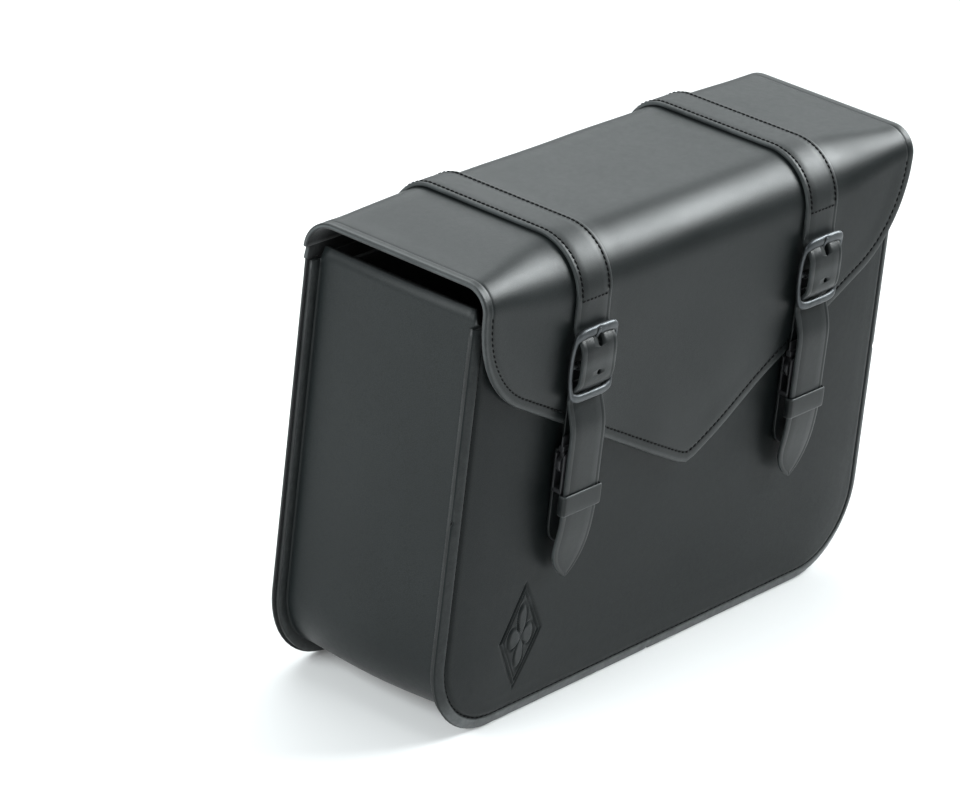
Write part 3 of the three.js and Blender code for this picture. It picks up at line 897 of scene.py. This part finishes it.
def build_gusset():
    outer, inner = gusset_section()
    last = len(outer) - 2
    # Painted shadow: the gusset's sewn edges take the near-black edge material, which stands for the shaded
    # gap along the rim.
    rims = (0, 1, 2, last - 2, last - 1, last)
    stands_for = ["gusset", "seam_flange_front", "seam_flange_back"]
    piece = shell(
        "gusset_skin", gusset_rows(outer), gusset_rows(inner), [GUSSET_LIT_LEATHER, DYED_EDGE_AND_SHADE, LINING],
        "bag", stands_for, rim_columns=rims,
    )
    # Painted light: the back flange's face, which lies in shade, is painted as light as the lit gusset.
    write_wear_and_painted_light(piece, lambda x, y, z: 0.3 * (y > GUSSET_BACK_Y - 3.1) * (panel_inset(x, z) < 6.4))


# ---- the lid

def lid_profile(x):
    """Top height, crest radius and back fold radius at x: the lid droops and tightens towards its ends."""
    ends = smooth_step((abs(x) - 128) / (LID_HALF_WIDTH - 128))
    top = LID_TOP_Z - 3.8 * ends
    return top, CREST_RADIUS - 15 * ends, top - HINGE_Z


def slope_z(x):
    """The flap's lower edge between its corners: two slopes that meet in a rounded tip."""
    return TIP_Z + FLAP_SLOPE * math.hypot(x, TIP_ROUNDING)


def flap_edge_z(x):
    reach = abs(x)
    if reach <= FLAP_CORNER_X + FLAP_CORNER_RADIUS * math.sin(SLOPE_ANGLE):
        return slope_z(x)
    across = min(reach - FLAP_CORNER_X, FLAP_CORNER_RADIUS)
    return FLAP_CORNER_Z - math.sqrt(FLAP_CORNER_RADIUS**2 - across**2)


def lid_edge_distance(x, z, on_flap):
    """Distance from the lid's side edges and, on the flap, from its lower edge."""
    reach = abs(x)
    side = LID_HALF_WIDTH - reach
    if not on_flap or z > FLAP_CORNER_Z:
        return side
    across, down = reach - FLAP_CORNER_X, FLAP_CORNER_Z - z
    if across > 0 and math.atan2(down, across) < math.pi / 2 - SLOPE_ANGLE:
        return FLAP_CORNER_RADIUS - math.hypot(across, down)
    return min(side, (z - slope_z(x)) * math.cos(SLOPE_ANGLE))


EDGE_ROUNDING = 1.0
LID_STITCH_INSET = 6.4


def rounded_drop(distance):
    """How far the leather's surface falls away near its rounded edge."""
    away = EDGE_ROUNDING - min(max(distance, 0), EDGE_ROUNDING)
    return EDGE_ROUNDING - math.sqrt(EDGE_ROUNDING**2 - away**2)


def groove(distance):
    return 0.3 * math.exp(-(((distance - LID_STITCH_INSET) / 0.8) ** 2))


# Distances from the lid's edge at which its surface has points: dense at the edge and the stitching.
FINE_OFFSETS = (0, 0.2, 0.5, 0.9, 1.4, 2.2, 3.2, 4.3, 5.1, 5.7, 6.1, 6.4, 6.7, 7.1, 7.7, 8.6, 10.4, 13)


def lid_columns():
    side = [LID_HALF_WIDTH - offset for offset in FINE_OFFSETS]
    x = side[-1] - 3
    while x > 3:
        side.append(x)
        x -= 4.2
    return [-value for value in side] + [0] + list(reversed(side))


BACK_STEPS, TOP_STEPS, CREST_STEPS, FLAP_STEPS = 10, 16, 14, 26


def lid_bend(centre, radius, start, end, steps, on_flap):
    normals = arc((0, 0), 1, start, end, steps)
    return [(centre[0] + radius * n.x, centre[1] + radius * n.y, tuple(n), on_flap) for n in normals]


def lid_column(x):
    """Points of the lid at x, from the hinge to the flap's edge: (y, z, outward normal, on the flap)."""
    top, crest, back = lid_profile(x)
    back_y, front_y = LID_BACK_Y - back, FLAP_FRONT_Y + crest
    made = lid_bend((back_y, top - back), back, 2, 90, BACK_STEPS, False)
    for i in range(1, TOP_STEPS):
        made.append((back_y + (front_y - back_y) * i / TOP_STEPS, top, (0, 1), False))
    made += lid_bend((front_y, top - crest), crest, 90, 180, CREST_STEPS, True)
    low, start = flap_edge_z(x), top - crest
    fine = min(1.12, (start - low) * 0.55 / FINE_OFFSETS[-1])
    first_fine = low + FINE_OFFSETS[-1] * fine
    heights = [start + (first_fine - start) * i / FLAP_STEPS for i in range(1, FLAP_STEPS)]
    heights += [low + offset * fine for offset in reversed(FINE_OFFSETS)]
    return made + [(FLAP_FRONT_Y, z, (-1, 0), True) for z in heights]


def flap_stand_off(x, z):
    """How far the pointed middle of the flap springs out from the front."""
    across = smooth_step((84 - abs(x)) / 60)
    return 3.4 * across * smooth_step((245 - z) / 130)


def lid_surface_point(x, y, z, normal, on_flap, inside):
    distance = lid_edge_distance(x, z, on_flap)
    out = flap_stand_off(x, z) if on_flap else 0
    between = smooth_step((abs(abs(x) - STRAP_X) - 17) / 12)
    out += 0.45 * between * (ripple(x, y, z, 70) - 0.6) * smooth_step((distance - 10) / 12)
    if inside:
        out -= LID_THICKNESS - rounded_drop(distance)
    else:
        out -= rounded_drop(distance) + groove(distance)
    return (x, y + normal[0] * out, z + normal[1] * out)


def build_lid():
    outer, inner = [], []
    for x in lid_columns():
        column = lid_column(x)
        outer.append([lid_surface_point(x, *row, False) for row in column])
        inner.append([lid_surface_point(x, *row, True) for row in column])
    piece = shell("lid_skin", outer, inner, [LID, EDGE, LINING], "lid", ["lid"])

    def rubbed(x, y, z):
        distance = lid_edge_distance(x, z, y < FLAP_FRONT_Y + CREST_RADIUS)
        return 0.28 * hump(distance - 1.2, 2.4)

    write_wear_and_painted_light(piece, rubbed)
    sew_lid()


def outline_of_flap(inset):
    """The flap's lower edge moved inwards, as (x, z), from the left end to the right."""
    raised = inset / math.cos(SLOPE_ANGLE)
    radius = FLAP_CORNER_RADIUS - inset
    touch = FLAP_CORNER_X + radius * math.sin(SLOPE_ANGLE)
    right = [Vector((touch * i / 40, slope_z(touch * i / 40) + raised)) for i in range(40)]
    right += arc((FLAP_CORNER_X, FLAP_CORNER_Z), radius, -90 + math.degrees(SLOPE_ANGLE), 0, 18)
    left = [Vector((-p.x, p.y)) for p in reversed(right[1:])]
    return left + right


def lid_side_path(x):
    """The lid's outer surface at a fixed x, from its back fold to the height of the flap's corner."""
    path, normals = [], []
    for y, z, normal, on_flap in lid_column(x):
        if z < FLAP_CORNER_Z:
            break
        path.append((x, y - normal[0] * 0.4, z - normal[1] * 0.4))
        normals.append((0, *normal))
    return path, normals


def sew_lid():
    left_path, left_normals = lid_side_path(-LID_HALF_WIDTH + LID_STITCH_INSET)
    right_path, right_normals = lid_side_path(LID_HALF_WIDTH - LID_STITCH_INSET)
    low = []
    for point in outline_of_flap(LID_STITCH_INSET):
        low.append((point.x, FLAP_FRONT_Y + 0.4 - flap_stand_off(point.x, point.y), point.y))
    path = left_path + low + right_path[::-1]
    normals = left_normals + [FRONTWARDS] * len(low) + right_normals[::-1]
    stitches("lid_edge_stitches", path, normals, "lid", LID_STITCH)


def build_fold():
    """The leather along the hinge, between the back panel and the lid."""
    low, high = 270.5, 279.4
    rows, columns = 8, 60
    half_low, half_high = PANEL_HALF_BOTTOM - 3.2, LID_HALF_WIDTH - 3
    outer, inner = [], []
    for i in range(rows + 1):
        z = low + (high - low) * i / rows
        half = half_low + (half_high - half_low) * smooth_step(i / rows)
        xs = [-half + 2 * half * j / columns for j in range(columns + 1)]
        outer.append([(x, LID_BACK_Y - 0.15, z) for x in xs])
        inner.append([(x, LID_BACK_Y - 2.9, z) for x in xs])
    piece = shell("back_fold", outer, inner, [LID, EDGE, LINING], None)
    write_wear_and_painted_light(piece, lambda x, y, z: 0.25 * hump(z - 275, 4))
    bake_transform(piece)


# ---- straps and buckles

BILLET_PATH = (
    (-69.4, 262), (-69.5, 256), (-69.9, 252.6), (-71.5, 249.4), (-74.7, 246.4), (-76.9, 242.5),
    (-77.6, 237.5), (-77.7, 231), (-77.6, 225), (-76.9, 220.4), (-74.7, 217), (-71.9, 214),
    (-70.8, 210.5), (-70.9, 207), (-71.8, 203.5), (-73.6, 198.5), (-75.7, 189), (-75.9, 175),
    (-75.8, 160), (-75.8, 145), (-75.6, 134), (-74.4, 122), (-72.4, 110), (-71.6, 104), (-71.2, 99.5),
    (-71.0, 96), (-70.9, 93.4), (-70.85, 91.8), (-70.8, STRAP_TIP_Z + 0.3),
)
OVERLAY_LIFT = 1.5


FLAP_STRAP_Y = -69.3


def strap_path():
    """Middle of the strap's thickness as (y, z): over the lid, down through the buckle to the tip."""
    back_centre = (LID_BACK_Y - BACK_FOLD_RADIUS, LID_TOP_Z - BACK_FOLD_RADIUS)
    crest_centre = (FLAP_FRONT_Y + CREST_RADIUS, LID_TOP_Z - CREST_RADIUS)
    path = arc(back_centre, BACK_FOLD_RADIUS + OVERLAY_LIFT, 8, 90, 14)
    top_steps = 12
    front = Vector((crest_centre[0], LID_TOP_Z + OVERLAY_LIFT))
    path += [path[-1].lerp(front, i / top_steps) for i in range(1, top_steps)]
    path += arc(crest_centre, CREST_RADIUS + OVERLAY_LIFT, 90, 180, 16)
    path += [Vector((FLAP_STRAP_Y, z)) for z in (268.2, 266.4, 264.5)]
    return path + spline(BILLET_PATH, 5)


def path_normals(path, closed=False):
    """Directions square to a path of 2-D points, on its right."""
    count = len(path)
    made = []
    for i in range(count):
        before, after = path[max(i - 1, 0)], path[min(i + 1, count - 1)]
        if closed:
            before, after = path[i - 1], path[(i + 1) % count]
        tangent = (after - before).normalized()
        made.append(Vector((tangent.y, -tangent.x)))
    return made


def across_path(x, point, normal, section):
    """A section of (across, outwards) set across a path that runs at a fixed x."""
    return [(x + u, point.x + normal.x * w, point.y + normal.y * w) for u, w in section]


TIP_LENGTH = 25
TIP_ARC = (STRAP_HALF_WIDTH**2 + TIP_LENGTH**2) / (2 * STRAP_HALF_WIDTH)


def tip_half_width(z):
    """Half the strap's width near its pointed end: two arcs that meet in a point."""
    above = TIP_LENGTH - (z - STRAP_TIP_Z)
    if above <= 0:
        return STRAP_HALF_WIDTH
    return max(STRAP_HALF_WIDTH - TIP_ARC + math.sqrt(TIP_ARC**2 - above**2), 0.5)


SECTION_ROUNDING = ((0.0, 0.85), (0.12, 0.4), (0.42, 0.12), (0.85, 0.0))
SEWN_CROWN, PLAIN_CROWN = 0.3, 0.22
SEWN_GROOVE, PLAIN_GROOVE = 0.28, 0.06


def strap_section(half, crown, depth):
    """Closed cross-section as (across, outwards): flat underside, rounded edges, crowned outside."""
    top, low = STRAP_THICKNESS / 2, -STRAP_THICKNESS / 2
    scale = min(half / 4.5, 1)
    outside = [(half - inset * scale, top - drop) for inset, drop in SECTION_ROUNDING]
    for inset, height in ((2.2, 0.1), (2.9, -depth * 0.6), (3.3, -depth), (3.7, -depth * 0.6), (4.4, 0.12)):
        outside.append((half - inset * scale, top + height * scale))
    outside += [((half - 4.4 * scale) * 0.55, top + crown * 0.8 * scale), (0, top + crown * scale)]
    underside = [(-half + inset * scale, low + drop) for inset, drop in SECTION_ROUNDING]
    underside += [(-half / 2, low), (0, low)]
    return mirrored(outside) + mirrored(underside)


def mirrored(points):
    """Points that end on the middle line, followed by their mirror images."""
    return points + [(-u, w) for u, w in reversed(points[:-1])]


SECTION_OUTSIDE = 2 * 11 - 1


def strap_shade(j):
    if j < 2 or SECTION_OUTSIDE - 3 <= j <= SECTION_OUTSIDE + 1:
        return 2
    return 0 if j < SECTION_OUTSIDE else 1


def build_strap(side, x):
    path = strap_path()
    normals = path_normals(path)
    loops = []
    for i, (point, normal) in enumerate(zip(path, normals)):
        near_tip = i > len(path) - 50
        half = tip_half_width(point.y) if near_tip else STRAP_HALF_WIDTH
        sewn = point.y > SWING_Z + 7
        shape = (SEWN_CROWN, SEWN_GROOVE) if sewn else (PLAIN_CROWN, PLAIN_GROOVE)
        loops.append(across_path(x, point, normal, strap_section(half, *shape)))
    piece = loft(
        "strap_" + side, loops, [STRAP, LINING, EDGE], None,
        ["lid_strap_" + side, "billet_" + side], shade_of=strap_shade,
    )
    cut(piece, strap_holes(x))
    write_wear_and_painted_light(piece, lambda px, py, pz: strap_wear(px - x, py, pz))
    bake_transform(piece)
    sew_strap(side, x, path, normals)


def strap_wear(across, y, z):
    edge = 0.16 * hump(STRAP_HALF_WIDTH - abs(across) - 0.5, 1.4)
    fold = 0.2 * hump(z - BUCKLE_Z, 7) * (y < -74)
    return edge + fold


def strap_holes(x):
    """The prong's keyhole slot and a punched hole below it."""
    slot = arc((x, 248.4), 2.3, 0, 180, 12) + arc((x, 243.8), 1.84, 180, 360, 12)
    return [prism_along_y(hole, -90, -60) for hole in (slot, oval(1.7, 1.7, 24, (x, 226)))]


def sew_strap(side, x, path, normals):
    """Both edges of the sewn part, and the row across the strap where it leaves the lid."""
    name = "strap_stitches_" + side
    sewn = [i for i, point in enumerate(path) if point.y > SWING_Z + 8.5]
    reach = STRAP_HALF_WIDTH - STRAP_STITCH_INSET
    for label, across in (("_a", -reach), ("_b", reach)):
        spot = [(across, STRAP_THICKNESS / 2 + 0.02)]
        line = [across_path(x, path[i], normals[i], spot)[0] for i in sewn]
        stitches(name + label, line, [(0, *normals[i]) for i in sewn], "lid", STRAP_STITCH)
    row_y = FLAP_STRAP_Y - STRAP_THICKNESS / 2 - 0.1
    ends = (x - reach, x + reach)
    straight_stitches(name + "_row", ends, row_y, SWING_Z + 8.2, FRONTWARDS, "lid", STRAP_STITCH)


def rounded(value, exponent):
    """A sine or cosine flattened towards 1, which squares a circle."""
    return math.copysign(abs(value) ** exponent, value)


BUCKLE_HALF_WIDTH, BUCKLE_HALF_HEIGHT = 18.7, 20.5
BUCKLE_BARS_FROM = 15.5
BUCKLE_NOTCH_HALF = 3.6
BUCKLE_ROD = ((-18.2, 1.0), (-17.9, 1.35), (-14, 1.4), (0, 1.4), (14, 1.4), (17.9, 1.35), (18.2, 1.0))


def buckle_centre_line(count=112):
    """An upright rounded frame with bowed sides, as evenly spaced (across, up) points."""
    dense = []
    for i in range(2401):
        angle = 2 * math.pi * i / 2400
        u = BUCKLE_HALF_WIDTH * rounded(math.cos(angle), 0.36)
        v = BUCKLE_HALF_HEIGHT * rounded(math.sin(angle), 0.3)
        dense.append(Vector((u, v)))
    total = sum((b - a).length for a, b in zip(dense, dense[1:]))
    spots = walk(dense, total / count)[:count]
    return [dense[i].lerp(dense[i + 1], share) for i, share in spots]


def buckle_section(point, outwards):
    """The frame's section as (across, depth, up): heavier bars, with a seat for the prong in the top one."""
    bar = smooth_step((abs(point.y) - BUCKLE_BARS_FROM) / 4)
    top = smooth_step((point.y - BUCKLE_BARS_FROM) / 4)
    half_width = 1.25 + 1.35 * bar + 0.45 * top
    half_depth = 1.45 + 0.35 * bar
    section = []
    for c, s in oval(1, 1, 14):
        depth = rounded(s, 0.8) * half_depth
        if point.y > 0 and abs(point.x) < BUCKLE_NOTCH_HALF and s > 0:
            depth -= 1.25 * hump(point.x, BUCKLE_NOTCH_HALF) * (1.0 if c < 0.35 else 0.35)
        spot = point + outwards * rounded(c, 0.8) * half_width
        section.append((spot.x, depth, spot.y))
    return section


def build_buckle(side, x):
    line = buckle_centre_line()
    loops = []
    for point, outwards in zip(line, path_normals(line, closed=True)):
        centre_y = BUCKLE_Y - 2.8 * (point.y / 23.5) ** 2
        section = buckle_section(point, outwards)
        loops.append([(x + u, centre_y - depth, BUCKLE_Z + v) for u, depth, v in section])
    body, slot = "strap_" + side, "buckle_metal"
    loft("buckle_" + side, loops, [METAL], body, ["buckle_frame_" + side], closed=True)
    rod = []
    for u, radius in BUCKLE_ROD:
        rod.append([(x + u, y, z) for y, z in oval(radius, radius, 24, (BUCKLE_Y, BUCKLE_Z))])
    loft("buckle_bar_" + side, rod, [METAL], body)


PRONG_PATH = (
    (-74.6, 230.4), (-74.0, 234), (-73.6, 240), (-73.7, 244),
    (-74.6, 247.6), (-76.0, 250.6), (-76.5, 253.4),
)
PRONG_END_RADII = [0.8, 0.45]
HOOK_RADIUS = 2.35


def build_prong(side, x):
    """A tapered shank, and the hook with which it turns on the buckle's middle bar."""
    path = spline(PRONG_PATH, 5)
    last = len(path) - 1
    radii = [1.75 - 0.75 * i / last for i in range(last - 1)] + PRONG_END_RADII
    loops = []
    for point, normal, radius in zip(path, path_normals(path), radii):
        loops.append(across_path(x, point, normal, oval(radius * 1.1, radius * 0.7, 16)))
    body, slot = "prong_" + side, "buckle_metal"
    loft("prong_shank_" + side, loops, [METAL], body, ["prong_" + side])
    hook = []
    for outwards in arc((0, 0), 1, 150, 374, 14):
        middle = Vector((BUCKLE_Y, BUCKLE_Z)) + outwards * HOOK_RADIUS
        hook.append(across_path(x, middle, outwards, oval(1.9, 0.62, 12)))
    loft("prong_hook_" + side, hook, [METAL], body)


# The keeper's cross-section as (share of its half height, outwards), and which columns are cut edges.
KEEPER_PROFILE = (
    (-1, -0.25), (-1, 0.25), (-0.93, 0.55), (-0.8, 0.68), (-0.4, 0.78), (0, 0.82), (0.4, 0.78),
    (0.8, 0.68), (0.93, 0.55), (1, 0.25), (1, -0.25), (0.93, -0.55), (0.8, -0.65), (0, -0.68),
    (-0.8, -0.65), (-0.93, -0.55),
)
KEEPER_EDGES = (0, 1, 8, 9, 10, 15)
KEEPER_CORNER = 1.5


def keeper_outline(low, high):
    """The loop's middle line seen from above: a rounded rectangle, evenly divided."""
    middle, half = (low + high) / 2, (high - low) / 2
    across, along = half.x - 0.85 - KEEPER_CORNER, half.y - 0.7 - KEEPER_CORNER
    outline = []
    for sign_x, sign_y, start in ((1, 1, 0), (-1, 1, 90), (-1, -1, 180), (1, -1, 270)):
        corner = (middle.x + sign_x * across, middle.y + sign_y * along)
        outline += arc(corner, KEEPER_CORNER, start, start + 90, 6)
    dense = []
    for a, b in zip(outline, outline[1:] + outline[:1]):
        steps = max(1, round((b - a).length / 2.5))
        dense += [a.lerp(b, k / steps) for k in range(steps)]
    return dense


def build_keeper(side):
    """A leather loop round the strap, a little proud in its middle."""
    low, high = box_mm("keeper_" + side)
    half_z, middle_z = (high.z - low.z) / 2, (high.z + low.z) / 2
    line = keeper_outline(low, high)
    loops = []
    for point, outwards in zip(line, path_normals(line, closed=True)):
        loops.append([(*(point + outwards * w * 0.95), middle_z + u * half_z) for u, w in KEEPER_PROFILE])
    piece = loft(
        "keeper_loop_" + side, loops, [STRAP, EDGE], "strap_" + side,
        ["keeper_" + side], closed=True, shade_of=lambda j: int(j in KEEPER_EDGES),
    )
    write_wear_and_painted_light(piece, lambda px, py, pz: 0.45 * smooth_step(1 - (half_z - abs(pz - middle_z)) / 1.6))


STRAP_SKINS = (("bar_fold", "bar_fold", 0.3), ("anchor_strap", "anchor", 0.6), ("tail_strap", "tail", 0.4))


def build_strap_set(side, x):
    build_strap(side, x)
    build_buckle(side, x)
    build_prong(side, x)
    build_keeper(side)
    for node_name, short, width in STRAP_SKINS:
        refine(f"{node_name}_{side}", f"{short}_skin_{side}", STRAP, width)
    for node_name, width in (("clip_socket", 0.5), ("clip_tongue", 0.45)):
        refine(f"{node_name}_{side}", f"{node_name}_skin_{side}", PLASTIC, width)
    for arm in ("1", "2"):
        refine(f"clip_arm_{side}_{arm}", f"clip_arm_skin_{side}_{arm}", PLASTIC, 0.5)
    build_rivet(side, x)


def turned(name, profile, x, z, replaced, steps):
    """A metal ring: a closed profile of (radius, y) turned round an axis along Y."""
    loops = []
    for c, s in oval(1, 1, steps):
        loops.append([(x + r * c, y, z + r * s) for r, y in profile])
    loft(name, loops, [METAL], "bag", replaced, closed=True)


def build_rivet(side, x):
    low, high = box_mm("anchor_rivet_" + side)
    face, crown = high.y, low.y
    profile = [
        (0.4, face), (3.9, face), (4.1, face - 0.3), (3.8, face - 0.75),
        (2.8, crown + 0.25), (1.4, crown + 0.02), (0.4, crown),
    ]
    turned("rivet_" + side, profile, x, (low.z + high.z) / 2, ["anchor_rivet_" + side], 40)


# ---- the back

def build_eyelets():
    for side, x in (("left", -EYELET_X), ("right", EYELET_X)):
        low, high = box_mm("eyelet_" + side)
        face = BACK_Y + 0.1
        profile = [
            (4.0, low.y), (5.1, low.y), (5.1, face), (9.3, face), (9.5, face + 0.5), (9.1, face + 1.1),
            (7.6, high.y - 0.1), (6.0, high.y), (4.9, high.y - 0.15), (4.2, face + 0.9), (4.0, face),
        ]
        turned("eyelet_ring_" + side, profile, x, EYELET_Z, ["eyelet_" + side], 48)


LOOP_HALF_THICKNESS = 0.75


def loop_section(half, sag):
    """Cross-section of the webbing as (across, outwards), slightly hollow in its middle."""
    top = LOOP_HALF_THICKNESS
    outside = [(half, -top * 0.4), (half, top * 0.4), (half - 0.5, top)]
    outside += [(half * 0.5, top - sag * 0.3), (0, top - sag * 0.5)]
    return mirrored(outside) + mirrored([(-half + 0.5, -top), (0, -top - sag * 0.4)])


def build_belt_loop(node_name):
    """Webbing sewn down at both ends, which stands off in between."""
    low, high = box_mm(node_name)
    near, far = low.y + LOOP_HALF_THICKNESS, high.y - LOOP_HALF_THICKNESS
    middle, half = (low + high) / 2, (high.x - low.x) / 2
    rise = [(near, 0), (near, 5.5), (near + 1.6, 8), (far - 0.5, 10.5), (far, 14)]
    points = [(y, low.z + up) for y, up in rise] + [(far, middle.z)]
    points += [(y, high.z - up) for y, up in reversed(rise)]
    path = spline(points, 5)
    loops = []
    for point, normal in zip(path, path_normals(path)):
        sag = 0.5 * hump(point.y - middle.z, 14)
        loops.append(across_path(middle.x, point, normal, loop_section(half, sag)))
    loft("webbing_" + node_name, loops, [WEBBING], "bag", [node_name])
    y = near + LOOP_HALF_THICKNESS + 0.05
    rows = {"low": low.z + 2.2, "low_2": low.z + 4.6, "high": high.z - 2.2, "high_2": high.z - 4.6}
    for label, z in rows.items():
        name = f"{node_name}_stitches_{label}"
        straight_stitches(name, (low.x + 2, high.x - 2), y, z, BACKWARDS, "bag", LOOP_STITCH)


def build_back():
    build_eyelets()
    refine("back_stiffener", "stiffener_board", BOARD, 0.6)
    for level in ("upper", "lower"):
        refine("band_" + level, "webbing_band_" + level, WEBBING, 0.45)
        low, high = box_mm("band_" + level)
        ends, y = (low.x + 3, high.x - 3), high.y + 0.05
        for label, z in (("low", low.z + 3), ("high", high.z - 3)):
            straight_stitches(f"band_{level}_stitches_{label}", ends, y, z, BACKWARDS, "bag", BAND_STITCH)
        for number in "1234":
            build_belt_loop(f"belt_loop_{level}_{number}")


# ---- build

place_camera()
build_studio()
build_front_panel()
build_back_panel()
build_gusset()
build_lid()
build_fold()
for side, x in SIDES.items():
    build_strap_set(side, x)
build_back()
